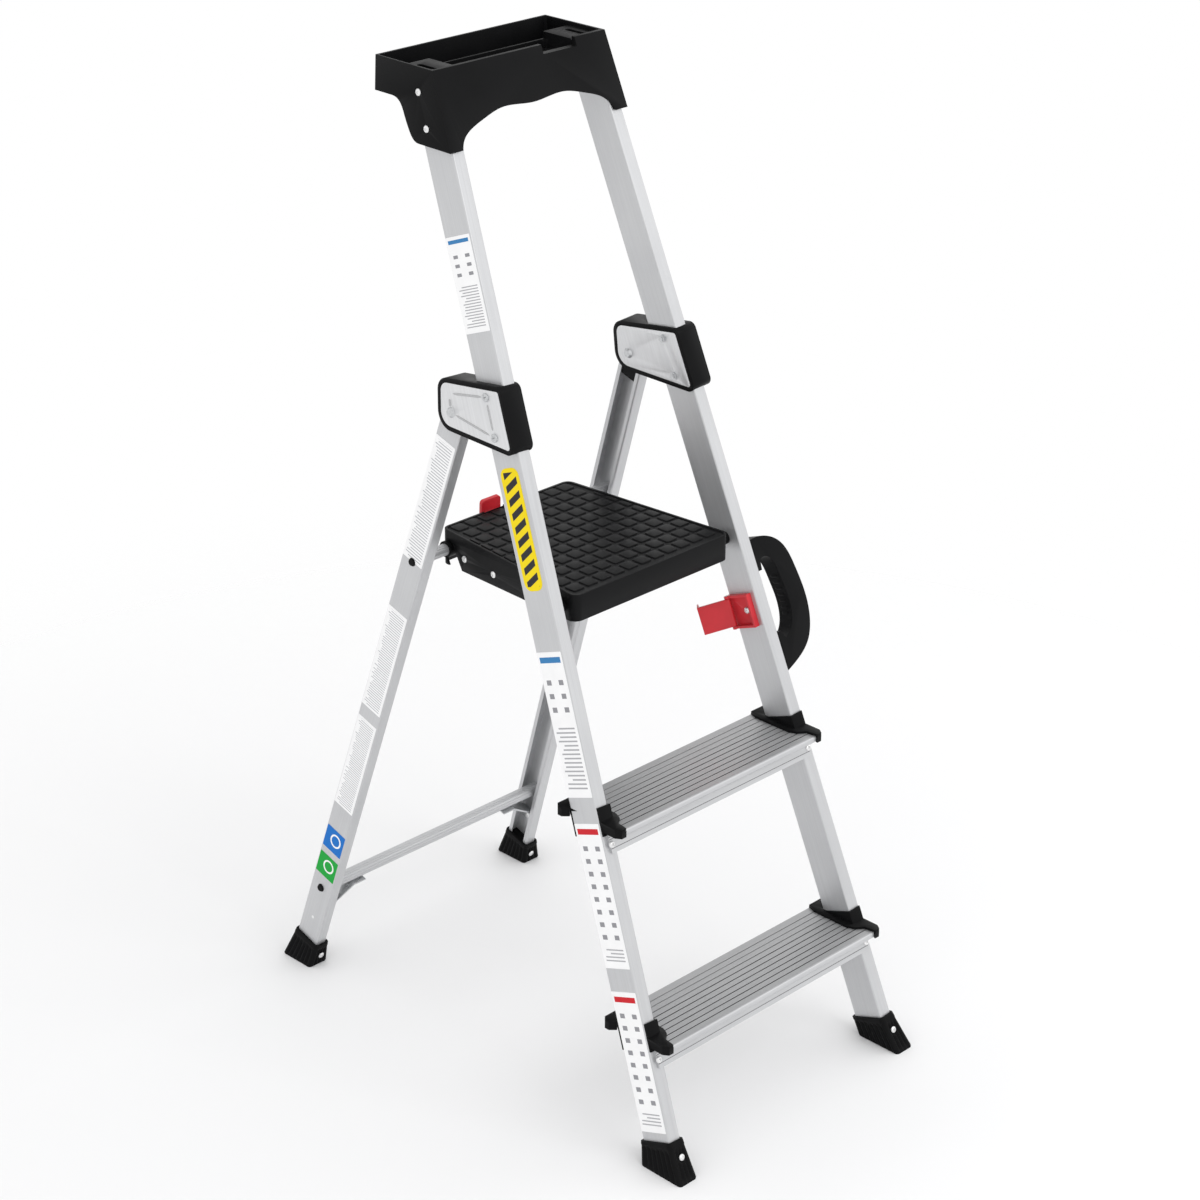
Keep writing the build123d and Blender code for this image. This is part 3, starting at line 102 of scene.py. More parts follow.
class LadderColours(bpy.types.PropertyGroup):
    """Colours of the finishes."""
    aluminium: colour("Aluminium", "Drawn aluminium of stiles, legs and treads", (0.60, 0.605, 0.615))
    pressed: colour("Pressed plate", "Pressed aluminium of the hinge plates", (0.74, 0.745, 0.755))
    steel: colour("Steel", "Zinc plated steel", (0.56, 0.57, 0.58))
    bright: colour("Bright metal", "Heads of rivets and screws", (0.80, 0.80, 0.80))
    black: colour("Black plastic", "Moulded plastic", (0.0052, 0.0053, 0.0057))
    rubber: colour("Rubber", "Rubber of the boots", (0.0050, 0.0050, 0.0053))
    red: colour("Red plastic", "Lock lever and storage clip", (0.56, 0.018, 0.028))
    paper: colour("Label white", "Ground of the white labels", (0.97, 0.97, 0.975))
    yellow: colour("Label yellow", "Ground of the striped label", (0.94, 0.72, 0.008))
    ink: colour("Label dark", "Dark patches on labels", (0.03, 0.03, 0.035))
    floor: colour("Floor", "Studio floor", (0.905, 0.905, 0.91))


class LadderStudio(bpy.types.PropertyGroup):
    """Camera and light."""
    azimuth: angled("Azimuth", "Camera's turn about the ladder", -45.9147)
    elevation: angled("Elevation", "Camera's angle above the horizon", 25.0555)
    roll: angled("Roll", "Camera's turn about its own axis", 0.688)
    distance: length("Distance", "Camera to its aim", 3.8471)
    aim: FloatVectorProperty(name="Aim", description="Point that the camera looks at",
                             default=(-0.01294, -0.0787, 0.6331), subtype="TRANSLATION")
    lens: FloatProperty(name="Lens", description="Focal length in millimetres", default=89.756)
    shift: FloatVectorProperty(name="Shift", description="Camera's shift", size=2,
                               default=(-0.0289, 0.00325))
    key_power: FloatProperty(name="Key light", description="Power of the soft key light", default=40.0,
                             unit="POWER")
    fill_power: FloatProperty(name="Fill light", description="Power of the fill light", default=12.0,
                              unit="POWER")
    sky: FloatProperty(name="Surroundings", description="Strength of the white surroundings", default=1.0)


def sizes():
    """The sizes set in the sidebar."""
    return bpy.context.scene.ladder_sizes


def colours():
    """The colours set in the sidebar."""
    return bpy.context.scene.ladder_colours


# ---- reading the frame -----------------------------------------------------------------------


def mesh_points(node):
    """All corner points of a CAD node, as an array."""
    mesh = NODES[node].data
    flat = np.empty(len(mesh.vertices) * 3)
    mesh.vertices.foreach_get("co", flat)
    return flat.reshape(-1, 3)


def unit(vector):
    """A vector brought to length one."""
    return vector / np.linalg.norm(vector)


class Section:
    """Axes of a drawn tube, read from its flat faces.

    Inward is the area-weighted mean of the side faces' normals, back is that of the front and rear
    faces, and up the tube is their cross product. The origin is where the tube's outer front edge
    would meet the floor.
    """

    def __init__(self, node):
        mesh = NODES[node].data
        normals = np.empty(len(mesh.polygons) * 3)
        mesh.polygons.foreach_get("normal", normals)
        normals = normals.reshape(-1, 3)
        areas = np.empty(len(mesh.polygons))
        mesh.polygons.foreach_get("area", areas)
        side = np.abs(normals[:, 0]) > 0.95
        front = (np.abs(normals[:, 0]) < 0.12) & (np.abs(normals[:, 1]) > 0.8)
        points = mesh_points(node)
        self.sign = -1.0 if points[:, 0].mean() > 0 else 1.0
        weighted = normals * areas[:, None]
        self.inward = unit((weighted * np.sign(normals[:, :1]))[side].sum(0)) * self.sign
        self.back = unit((weighted * np.sign(normals[:, 1:2]))[front].sum(0))
        self.up = unit(np.cross(self.inward, self.back)) * self.sign
        self.thickness = np.ptp(points @ self.inward)
        self.depth = np.ptp(points @ self.back)
        rows = np.array([self.inward, self.back, (0.0, 0.0, 1.0)])
        self.origin = np.linalg.solve(rows, [(points @ self.inward).min(), (points @ self.back).min(), 0.0])

    def at(self, inward, back, up):
        """Points at the given distances from the tube's outer face, front face and foot."""
        inward, back, up = (np.asarray(value, float)[..., None] for value in (inward, back, up))
        return self.origin + inward * self.inward + back * self.back + up * self.up

    def turn(self):
        """Rotation that brings the tube's axes onto X, Y and Z."""
        return Matrix((self.inward * self.sign, self.back, self.up)).to_euler()


STILES = {side: Section(f"{side}_stile") for side in ("left", "right")}
LEGS = {side: Section(f"{side}_rear_leg") for side in ("left", "right")}


def loose_parts(node):
    """Point arrays of the separate solids of a CAD node.

    Corners at one place are merged. Every corner starts with a number of its own, and the lower
    number is handed along each edge until nothing changes.
    """
    mesh = NODES[node].data
    ends = np.empty(len(mesh.edges) * 2, int)
    mesh.edges.foreach_get("vertices", ends)
    points, merged = np.unique(np.round(mesh_points(node), 6), axis=0, return_inverse=True)
    ends = merged.ravel()[ends].reshape(-1, 2)
    number, before = np.arange(len(points)), None
    while before is None or (number != before).any():
        before = number.copy()
        lower = number[ends].min(1)
        np.minimum.at(number, ends[:, 0], lower)
        np.minimum.at(number, ends[:, 1], lower)
    return [points[number == own] for own in np.unique(number)]


def fastener(points):
    """Seat, direction and sizes of a headed fastener, from the solid's own points.

    The axis is the first principal direction of the points, straightened by the middles of the two
    end faces. The head is at the end where the distance from the axis is largest.
    """
    same_plane = 1e-5
    axis = np.linalg.svd(points - points.mean(0), full_matrices=False)[2][0]
    along = points @ axis
    top, foot = (points[np.abs(along - end) < same_plane].mean(0) for end in (along.max(), along.min()))
    axis = unit(top - foot)
    height = (points - foot) @ axis
    spread = np.linalg.norm(points - foot - height[:, None] * axis, axis=1)
    if height[spread.argmax()] < height.max() / 2:
        axis, height = -axis, -height
    seat = height[spread > spread.max() * 0.99].min()
    return {
        "seat": foot + axis * seat, "axis": axis, "radius": spread.max(), "height": height.max() - seat,
        "shank": np.median(spread[height < height.min() + same_plane]), "length": seat - height.min(),
    }


# ---- making meshes ---------------------------------------------------------------------------


def smooth_step(value, low, high):
    """Nought below low, one above high, and 3t² - 2t³ between them."""
    share = np.clip((value - low) / (high - low), 0, 1)
    return share * share * (3 - 2 * share)


def ring_faces(rings, around):
    """Quads between rings of points, with the last point of each ring joined to its first."""
    row, column = np.meshgrid(np.arange(rings - 1), np.arange(around), indexing="ij")
    after = (column + 1) % around
    quads = np.stack([row * around + column, row * around + after, (row + 1) * around + after,
                      (row + 1) * around + column], -1)
    return quads.reshape(-1, 4)


def closed_shell(rings):
    """Points and faces of a shell through rings of points, closed by a flat face at either end."""
    count, around = rings.shape[:2]
    faces = ring_faces(count, around).tolist()
    faces.append(list(range(around))[::-1])
    faces.append(list(range((count - 1) * around, count * around)))
    return rings.reshape(-1, 3), faces


def many(shells):
    """Points and faces of several shells put together."""
    points, faces, start = [], [], 0
    for shell_points, shell_faces in shells:
        points.append(shell_points)
        faces += [[index + start for index in face] for face in shell_faces]
        start += len(shell_points)
    return np.concatenate(points), faces


def build_mesh(name, points, faces, crease=35.0):
    """A mesh with outward faces, smooth except across edges sharper than the crease angle."""
    mesh = bpy.data.meshes.new(name)
    mesh.from_pydata(points.tolist(), [], faces)
    work = bmesh.new()
    work.from_mesh(mesh)
    bmesh.ops.recalc_face_normals(work, faces=work.faces)
    work.to_mesh(mesh)
    work.free()
    mesh.shade_smooth()
    mesh.set_sharp_from_angle(angle=math.radians(crease))
    return mesh


def place(name, mesh, finish, body, stands_for=()):
    """Puts a mesh into the scene as a piece that rides on a body."""
    piece = bpy.data.objects.new(name, mesh)
    bpy.context.scene.collection.objects.link(piece)
    mesh.materials.clear()
    mesh.materials.append(finish)
    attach(piece, body)
    if stands_for:
        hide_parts(*stands_for)
    return piece


def softened(node, name, finish, edge, segments=2):
    """A merged copy of a CAD node with rounded edges, standing for the node."""
    mesh = NODES[node].data.copy()
    work = bmesh.new()
    work.from_mesh(mesh)
    bmesh.ops.remove_doubles(work, verts=work.verts, dist=2e-6)
    bmesh.ops.dissolve_limit(work, angle_limit=math.radians(0.6), verts=work.verts, edges=work.edges)
    work.to_mesh(mesh)
    work.free()
    mesh.shade_smooth()
    piece = place(name, mesh, finish, BODY_OF[node], (node,))
    bevel = piece.modifiers.new("rounded edges", "BEVEL")
    bevel.width = edge
    bevel.segments = segments
    bevel.limit_method = "ANGLE"
    bevel.angle_limit = math.radians(32)
    bevel.harden_normals = True
    return piece


# ---- shader node groups ----------------------------------------------------------------------


def new_group(name, inputs, outputs):
    """An empty shader node group, with its input and output sockets by name.

    An input with no value is a vector, and everything else is a number.
    """
    group = bpy.data.node_groups.new(name, "ShaderNodeTree")
    for label, value in inputs.items():
        kind = "NodeSocketVector" if value is None else "NodeSocketFloat"
        socket = group.interface.new_socket(label, in_out="INPUT", socket_type=kind)
        if value is not None:
            socket.default_value = value
    for label in outputs:
        group.interface.new_socket(label, in_out="OUTPUT", socket_type="NodeSocketFloat")
    return group, group.nodes.new("NodeGroupInput").outputs, group.nodes.new("NodeGroupOutput").inputs


def add_node(tree, kind, links=(), **settings):
    """Adds a node, sets its properties, and links or sets its inputs."""
    made = tree.nodes.new(kind)
    for key, value in settings.items():
        setattr(made, key, value)
    for socket, source in dict(links).items():
        if isinstance(source, bpy.types.NodeSocket):
            tree.links.new(source, made.inputs[socket])
        else:
            made.inputs[socket].default_value = source
    return made


def maths(tree, operation, *values):
    """A sum, comparison or other operation on sockets and numbers."""
    return add_node(tree, "ShaderNodeMath", dict(enumerate(values)), operation=operation).outputs[0]


def product(tree, one, other):
    """Two values multiplied."""
    return maths(tree, "MULTIPLY", one, other)


def ranged(tree, value, low, high, to_low=0.0, to_high=1.0):
    """A value brought from one range to another, and kept inside it."""
    return add_node(tree, "ShaderNodeMapRange", {"Value": value, "From Min": low, "From Max": high,
                                                 "To Min": to_low, "To Max": to_high}).outputs[0]


def noise(tree, vector, scale, detail, rough=0.5):
    """Value of a noise."""
    return add_node(tree, "ShaderNodeTexNoise", {"Vector": vector, "Scale": scale, "Detail": detail,
                                                 "Roughness": rough}).outputs[0]


def split(tree, vector):
    """The three parts of a vector, by name."""
    return add_node(tree, "ShaderNodeSeparateXYZ", {0: vector}).outputs


def grain_group():
    """Moulded grain: a fine noise for bump, and a coarse one for slow patches."""
    group, given, result = new_group(
        "moulded_grain", {"Vector": None, "Scale": 1800.0, "Patch Scale": 14.0}, ("Grain", "Patches"))
    group.links.new(noise(group, given["Vector"], given["Scale"], 2.0), result["Grain"])
    group.links.new(noise(group, given["Vector"], given["Patch Scale"], 4.0, 0.6), result["Patches"])
    return group


def drawn_group():
    """Drawn lines: noise stretched far along the third axis, so it only changes across the tube."""
    group, given, result = new_group("drawn_lines", {"Vector": None, "Fineness": 900.0}, ("Lines", "Clouds"))
    squeezed = add_node(group, "ShaderNodeVectorMath", {0: given["Vector"], 1: (1.0, 1.0, 0.006)},
                        operation="MULTIPLY")
    group.links.new(noise(group, squeezed.outputs[0], given["Fineness"], 3.0, 0.65), result["Lines"])
    group.links.new(noise(group, given["Vector"], 9.0, 5.0, 0.55), result["Clouds"])
    return group


def dust_group():
    """Dust mask: the upward part of the normal times thresholded noise."""
    group, given, result = new_group(
        "settled_dust", {"Vector": None, "Normal": None, "Amount": 0.3}, ("Mask",))
    upward = ranged(group, split(group, given["Normal"])["Z"], 0.3, 1.0)
    speckle = ranged(group, noise(group, given["Vector"], 60.0, 6.0, 0.7), 0.42, 0.75)
    group.links.new(product(group, product(group, upward, speckle), given["Amount"]), result["Mask"])
    return group


def patch_group():
    """Mask of a rectangle on a label: one where both coordinates lie between their limits."""
    group, given, result = new_group(
        "label_patch", {"Vector": None, "Left": 0.0, "Right": 1.0, "Low": 0.0, "High": 1.0}, ("Mask",))
    parts = split(group, given["Vector"])
    inside = [product(group, maths(group, "GREATER_THAN", parts[axis], given[low]),
                      maths(group, "LESS_THAN", parts[axis], given[high]))
              for axis, low, high in (("X", "Left", "Right"), ("Y", "Low", "High"))]
    group.links.new(product(group, *inside), result["Mask"])
    return group


GROUP_MAKERS = {
    "moulded_grain": grain_group, "drawn_lines": drawn_group, "settled_dust": dust_group,
    "label_patch": patch_group,
}


def use_group(tree, name, links):
    """Outputs of a shared node group placed in a material, built the first time it is asked for."""
    group = bpy.data.node_groups.get(name) or GROUP_MAKERS[name]()
    return add_node(tree, "ShaderNodeGroup", links, node_tree=group).outputs


# ---- finishes --------------------------------------------------------------------------------


def start_finish(name, metallic=0.0, gloss=0.5):
    """A new material with its node tree, its shader and its coordinates by name."""
    finish = bpy.data.materials.new(name)
    finish.use_nodes = True
    tree = finish.node_tree
    shader = tree.nodes["Principled BSDF"]
    shader.inputs["Metallic"].default_value = metallic
    shader.inputs["Specular IOR Level"].default_value = gloss
    return finish, tree, shader, tree.nodes.new("ShaderNodeTexCoord").outputs


def mixed(tree, factor, under, over, blend="MIX"):
    """One colour laid over another as far as a factor says."""
    under, over = (value if isinstance(value, bpy.types.NodeSocket) else (*value, 1.0)
                   for value in (under, over))
    return add_node(tree, "ShaderNodeMix", {"Factor": factor, "A": under, "B": over},
                    data_type="RGBA", blend_type=blend).outputs["Result"]


def tint(tree, value, dark, light, low=0.3, high=0.7):
    """A colour that runs from dark to light as a value runs from low to high."""
    return mixed(tree, ranged(tree, value, low, high), dark, light)


def scaled_colour(value, factor):
    """A colour made lighter or darker, kept below one."""
    return tuple(min(channel * factor, 1.0) for channel in value)


def paint(tree, shader, shade):
    """Gives the shader its colour."""
    tree.links.new(shade, shader.inputs["Base Color"])


def bump(tree, shader, height, strength, distance):
    """A bump of the given height that feeds the shader's normal."""
    made = add_node(tree, "ShaderNodeBump",
                    {"Height": height, "Strength": strength, "Distance": distance})
    tree.links.new(made.outputs[0], shader.inputs["Normal"])


def roughness(tree, shader, value, low, high):
    """Roughness that follows a value between two limits."""
    tree.links.new(ranged(tree, value, 0.3, 0.7, low, high), shader.inputs["Roughness"])


def grained(tree, shader, spots, scale, patch_scale, rough, strength, distance):
    """Moulded grain over a surface, as bump and as roughness. Gives the value of its slow patches."""
    grain = use_group(tree, "moulded_grain", {"Vector": spots["Object"], "Scale": scale,
                                              "Patch Scale": patch_scale})
    roughness(tree, shader, grain["Patches"], *rough)
    if strength:
        bump(tree, shader, grain["Grain"], strength, distance)
    return grain["Patches"]


def drawn_surface(name, base, turn, metallic, fineness):
    """Satin drawn metal without its colour: the noise is turned to the tube's own axes, and feeds
    the roughness, the bump and the shade that is given back."""
    finish, tree, shader, spots = start_finish(name, metallic)
    mapping = add_node(tree, "ShaderNodeMapping", {"Vector": spots["Object"], "Rotation": turn})
    drawn = use_group(tree, "drawn_lines", {"Vector": mapping.outputs[0], "Fineness": fineness})
    streaked = tint(tree, drawn["Lines"], scaled_colour(base, 0.93), scaled_colour(base, 1.05))
    clouded = tint(tree, drawn["Clouds"], (0.93, 0.93, 0.935), (1.0, 1.0, 1.0))
    roughness(tree, shader, drawn["Lines"], 0.36, 0.50)
    bump(tree, shader, drawn["Lines"], 0.12, 0.00012)
    return finish, tree, shader, spots, mixed(tree, 1.0, streaked, clouded, "MULTIPLY")


def drawn_finish(name, base, turn, metallic=0.62, fineness=850.0):
    """Satin drawn metal, with fine lines along the turned third axis and slow cloudiness."""
    finish, tree, shader, _, shade = drawn_surface(name, base, turn, metallic, fineness)
    paint(tree, shader, shade)
    return finish


def tread_finish(name, base, turn, node):
    """Drawn metal of a tread with painted shade: its ribbed top is painted darker, its grooves are painted
    dark, and fine dark lines are painted on its front, all standing in for shade.

    The top is where the normal points up, and the grooves are where the height lies between two
    limits under it, behind the nosing. The front's lines lie at set shares of its height.
    """
    finish, tree, shader, spots, shade = drawn_surface(name, base, turn, 0.62, 850.0)
    points = mesh_points(node)
    (_, nose, foot), top = points.min(0), points[:, 2].max()
    # The second of these numbers is how far faces that point up are painted towards grey, as painted shade of
    # the ribbed top.
    facing_limit, painted_top_shade, half_line = 0.8, 0.36, 0.011
    groove_depth, groove_reach = 0.0008, 0.0005
    first_groove, fade_start, fade_end, rear_share = nose + 0.008, nose + 0.062, nose + 0.078, 0.35
    spot, facing = split(tree, spots["Object"]), split(tree, spots["Normal"])
    above = maths(tree, "GREATER_THAN", facing["Z"], facing_limit)
    # Painted shade: faces that point up are painted darker, standing in for the shade of the tread's ribbed
    # top.
    shade = mixed(tree, product(tree, above, painted_top_shade), shade, (0.18, 0.18, 0.18))
    # Painted shade: the grooves behind the nosing are painted dark for the shade inside them, fading towards
    # the rear.
    sunk = maths(tree, "COMPARE", spot["Z"], top - groove_depth, groove_reach)
    behind = maths(tree, "GREATER_THAN", spot["Y"], first_groove)
    strong = ranged(tree, spot["Y"], fade_start, fade_end, 1.0, rear_share)
    grooves = product(tree, product(tree, sunk, behind), strong)
    shade = mixed(tree, grooves, shade, (0.075, 0.075, 0.075))
    front = maths(tree, "LESS_THAN", facing["Y"], -facing_limit)
    share = ranged(tree, spot["Z"], foot, top)
    # Painted shade: dark lines at set shares of the front's height stand in for the shade of its ridges.
    lines = 0.0
    for place_up in (0.16, 0.47, 0.55, 0.63, 0.71):
        lines = maths(tree, "ADD", lines, maths(tree, "COMPARE", share, place_up, half_line))
    paint(tree, shader, mixed(tree, product(tree, lines, front), shade, (0.13, 0.13, 0.135)))
    return finish


def moulded_finish(name, base, rough=(0.34, 0.46), scale=1500.0, dust=0.02, dust_colour=(0.16, 0.155, 0.15),
                   gloss=0.07):
    """Moulded plastic or rubber: fine grain, slow patches of gloss, and dust on upward faces."""
    finish, tree, shader, spots = start_finish(name, gloss=gloss)
    patches = grained(tree, shader, spots, scale, 14.0, rough, 0.35, 0.00008)
    geometry = tree.nodes.new("ShaderNodeNewGeometry")
    settled = use_group(tree, "settled_dust", {"Vector": spots["Object"], "Amount": dust,
                                               "Normal": geometry.outputs["Normal"]})
    shade = tint(tree, patches, scaled_colour(base, 0.88), scaled_colour(base, 1.18))
    paint(tree, shader, mixed(tree, settled["Mask"], shade, dust_colour))
    return finish


def floor_finish(name, base):
    """Smooth matt floor with the faintest unevenness in its shade, fading out away from the middle."""
    finish, tree, shader, spots = start_finish(name, gloss=0.2)
    patches = grained(tree, shader, spots, 300.0, 0.8, (0.60, 0.66), None, None)
    paint(tree, shader, tint(tree, patches, scaled_colour(base, 0.994), base))
    solid_radius, clear_radius = 0.75, 1.9
    away = add_node(tree, "ShaderNodeVectorMath", {0: spots["Object"]}, operation="LENGTH")
    fade = add_node(tree, "ShaderNodeMapRange",
                    {"Value": away.outputs["Value"], "From Min": solid_radius, "From Max": clear_radius,
                     "To Min": 1.0, "To Max": 0.0}, interpolation_type="SMOOTHSTEP")
    tree.links.new(fade.outputs[0], shader.inputs["Alpha"])
    return finish


def plated_finish(name, base, rough=(0.26, 0.40), metallic=0.9):
    """Plated or turned metal with a faint mottled spangle."""
    finish, tree, shader, spots = start_finish(name, metallic)
    grained(tree, shader, spots, 900.0, 70.0, rough, 0.10, 0.00006)
    spangle = add_node(tree, "ShaderNodeTexVoronoi", {"Vector": spots["Object"], "Scale": 320.0})
    paint(tree, shader, tint(tree, spangle.outputs["Distance"], scaled_colour(base, 0.9),
                             scaled_colour(base, 1.08), 0.0, 0.8))
    return finish


def label_base(name, base):
    """Start of a label's material: a slightly uneven ground, and the label's own coordinates."""
    finish, tree, shader, spots = start_finish(name, gloss=0.12)
    patches = grained(tree, shader, spots, 700.0, 40.0, (0.30, 0.42), 0.08, 0.00003)
    return finish, tree, shader, spots["UV"], tint(tree, patches, scaled_colour(base, 0.95), base)


def patch(tree, vector, left, right, low, high):
    """Mask of a rectangle in a label's coordinates."""
    return use_group(tree, "label_patch", {"Vector": vector, "Left": left, "Right": right, "Low": low,
                                           "High": high})["Mask"]


def bars_mask(tree, surface, count, ragged):
    """Mask of plain bars across a label: the fraction of count times height is below a limit, and
    each bar's length is cut by a random share of its own."""
    bar_share, longest = 0.38, 0.94
    parts = split(tree, surface)
    climbed = product(tree, parts["Y"], float(count))
    bar = maths(tree, "LESS_THAN", maths(tree, "FRACT", climbed), bar_share)
    chance = add_node(tree, "ShaderNodeTexWhiteNoise", {"W": maths(tree, "FLOOR", climbed)},
                      noise_dimensions="1D")
    end = ranged(tree, chance.outputs["Value"], 0.0, 1.0, 1.0 - ragged, longest)
    return product(tree, bar, maths(tree, "LESS_THAN", parts["X"], end))


def sheet_label(name, base, header, bars, blocks):
    """White label with a coloured header band, plain grey bars and a grid of plain blocks."""
    finish, tree, shader, surface, shade = label_base(name, base)
    low, high, count = bars
    lines = product(tree, patch(tree, surface, 0.10, 0.90, low, high),
                    bars_mask(tree, surface, count, 0.35))
    shade = mixed(tree, lines, shade, (0.42, 0.42, 0.44))
    low, high, rows = blocks
    cells = add_node(tree, "ShaderNodeVectorMath", {0: surface, 1: (2.0, rows / (high - low), 1.0)},
                     operation="MULTIPLY")
    cell = add_node(tree, "ShaderNodeVectorMath", {0: cells.outputs[0]}, operation="FRACTION")
    squares = product(tree, patch(tree, cell.outputs[0], 0.30, 0.68, 0.28, 0.66),
                      patch(tree, surface, 0.06, 0.94, low, high))
    shade = mixed(tree, squares, shade, (0.30, 0.30, 0.32))
    paint(tree, shader, mixed(tree, patch(tree, surface, 0.07, 0.93, 0.925, 0.965), shade, header))
    return finish


def striped_label(name, base, stripe, count):
    """Yellow label with slanting dark stripes inside a plain border."""
    finish, tree, shader, surface, shade = label_base(name, base)
    dark_share = 0.52
    parts = split(tree, surface)
    slant = maths(tree, "MULTIPLY_ADD", parts["Y"], float(count), parts["X"])
    dark = maths(tree, "LESS_THAN", maths(tree, "FRACT", slant), dark_share)
    stripes = product(tree, dark, patch(tree, surface, 0.16, 0.84, 0.035, 0.965))
    paint(tree, shader, mixed(tree, stripes, shade, stripe))
    return finish


def ringed_label(name, base):
    """Label of one colour with a white ring, which is where the distance from the ring's middle lies
    between two limits."""
    finish, tree, shader, surface, shade = label_base(name, base)
    middle, radius, half_width = (0.42, 0.55, 0.0), 0.25, 0.035
    away = add_node(tree, "ShaderNodeVectorMath", {0: surface, 1: middle}, operation="DISTANCE")
    ring = maths(tree, "COMPARE", away.outputs["Value"], radius, half_width)
    paint(tree, shader, mixed(tree, ring, shade, (0.95, 0.95, 0.95)))
    return finish


def hatched_label(name, base, count):
    """Silvery label with fine grey bars across it."""
    finish, tree, shader, surface, shade = label_base(name, base)
    shader.inputs["Metallic"].default_value = 0.1
    bars = product(tree, patch(tree, surface, 0.10, 0.92, 0.02, 0.98),
                   bars_mask(tree, surface, count, 0.25))
    paint(tree, shader, mixed(tree, bars, shade, (0.50, 0.51, 0.53)))
    return finish


def finish_for(name):
    """A named finish, made the first time it is asked for."""
    made = bpy.data.materials.get(name)
    if made:
        return made
    shades = colours()
    crosswise = Matrix.Rotation(math.pi / 2, 3, "Y").to_euler()
    if name.startswith("aluminium_"):
        turns = {"aluminium_left_stile": STILES["left"], "aluminium_right_stile": STILES["right"],
                 "aluminium_left_leg": LEGS["left"], "aluminium_right_leg": LEGS["right"]}
        turn = turns[name].turn() if name in turns else crosswise
        if name.endswith("_tread"):
            return tread_finish(name, shades.aluminium, turn, name.removeprefix("aluminium_"))
        return drawn_finish(name, shades.aluminium, turn)
    makers = {
        "pressed_plate": lambda: drawn_finish(name, shades.pressed, STILES["left"].turn(), 0.65, 260.0),
        # Painted shade: the pressed lines are a darker copy of the plate's metal, standing in for the shade
        # along the ridges.
        "pressed_line_painted_shade": lambda: plated_finish(name, scaled_colour(shades.pressed, 0.62), (0.38, 0.5), 0.5),
        "zinc_steel": lambda: plated_finish(name, shades.steel),
        "bright_head": lambda: plated_finish(name, shades.bright, (0.22, 0.34), 0.85),
        "moulded_black": lambda: moulded_finish(name, shades.black),
        "deck_plastic": lambda: moulded_finish(name, scaled_colour(shades.black, 1.25), (0.36, 0.48),
                                               1100.0, 0.02, gloss=0.09),
        "boot_rubber": lambda: moulded_finish(name, shades.rubber, (0.42, 0.56), 800.0, 0.02),
        "moulded_red": lambda: moulded_finish(name, shades.red, (0.30, 0.42), 1500.0, 0.04,
                                              (0.70, 0.35, 0.33), 0.45),
        "label_sheet": lambda: sheet_label(name, shades.paper, (0.62, 0.02, 0.03), (0.04, 0.14, 40),
                                           (0.18, 0.88, 8)),
        "label_certificate": lambda: sheet_label(name, shades.paper, (0.05, 0.22, 0.48),
                                                 (0.05, 0.50, 34), (0.58, 0.86, 3)),
        "label_striped": lambda: striped_label(name, shades.yellow, shades.ink, 9),
        "label_blue": lambda: ringed_label(name, (0.012, 0.17, 0.58)),
        "label_green": lambda: ringed_label(name, (0.012, 0.38, 0.05)),
        "label_silver": lambda: hatched_label(name, (0.95, 0.95, 0.955), 46),
        "studio_floor": lambda: floor_finish(name, shades.floor),
    }
    return makers[name]()


CAD_FINISHES = {
    "left_stile": "aluminium_left_stile", "right_stile": "aluminium_right_stile",
    "left_rear_leg": "aluminium_left_leg", "right_rear_leg": "aluminium_right_leg",
    "lower_tread": "aluminium_lower_tread", "upper_tread": "aluminium_upper_tread",
    "lower_crossbar": "aluminium_across", "upper_crossbar": "aluminium_across",
}
SLOT_FINISHES = {
    "aluminium": "aluminium_across", "plate_aluminium": "pressed_plate", "steel": "zinc_steel",
    "rivet_aluminium": "bright_head", "black_plastic": "moulded_black", "red_plastic": "moulded_red",
    "rubber": "boot_rubber",
}


# ---- operators -------------------------------------------------------------------------------


class LADDER_OT_cad_finishes(bpy.types.Operator):
    """Gives every fixed piece its finish: drawn, pressed and plated metal, plastic and rubber"""
    bl_idname = "ladder.cad_finishes"
    bl_label = "Finish the fixed pieces"

    def execute(self, context):
        for node, piece in NODES.items():
            finish = finish_for(CAD_FINISHES.get(node, SLOT_FINISHES[SLOT_OF[node]]))
            piece.data.materials.clear()
            piece.data.materials.append(finish)
        return {"FINISHED"}


class LADDER_OT_mouldings(bpy.types.Operator):
    """Rounds the edges of the tray, hinge casings and plates, tread caps, lock lever and storage clip"""
    bl_idname = "ladder.mouldings"
    bl_label = "Round the mouldings"

    def execute(self, context):
        edge = sizes().moulded_edge
        softened("tool_tray", "tool_tray_moulding", finish_for("moulded_black"), edge * 1.9, 3)
        for node in ("left_hinge_casing", "right_hinge_casing", "lower_tread_cap_left",
                     "lower_tread_cap_right", "upper_tread_cap_left", "upper_tread_cap_right"):
            softened(node, f"{node}_moulding", finish_for("moulded_black"), edge * 1.2)
        for node in ("platform_lock_lever", "storage_clip_base", "storage_clip_lever"):
            softened(node, f"{node}_moulding", finish_for("moulded_red"), edge * 0.6)
        for node in ("left_outer_hinge_plate", "left_inner_hinge_plate", "right_outer_hinge_plate",
                     "right_inner_hinge_plate"):
            softened(node, f"{node}_pressing", finish_for("pressed_plate"), edge * 0.6)
        return {"FINISHED"}


def deck_recess():
    """Height, front and rear of the deck's recess, its middle, and its half width at the widest."""
    points = mesh_points("platform_deck")
    top = points[:, 2].max()
    floor = points[(points[:, 2] < top - 0.0008) & (points[:, 2] > top - 0.0024)]
    middle = (floor[:, 0].max() + floor[:, 0].min()) / 2
    widest = np.abs(floor[:, 0] - middle).argmax()
    return {"floor": floor[:, 2].mean(), "front": floor[:, 1].min(), "rear": floor[:, 1].max(),
            "middle": middle, "half": abs(floor[widest, 0] - middle), "at": floor[widest, 1]}


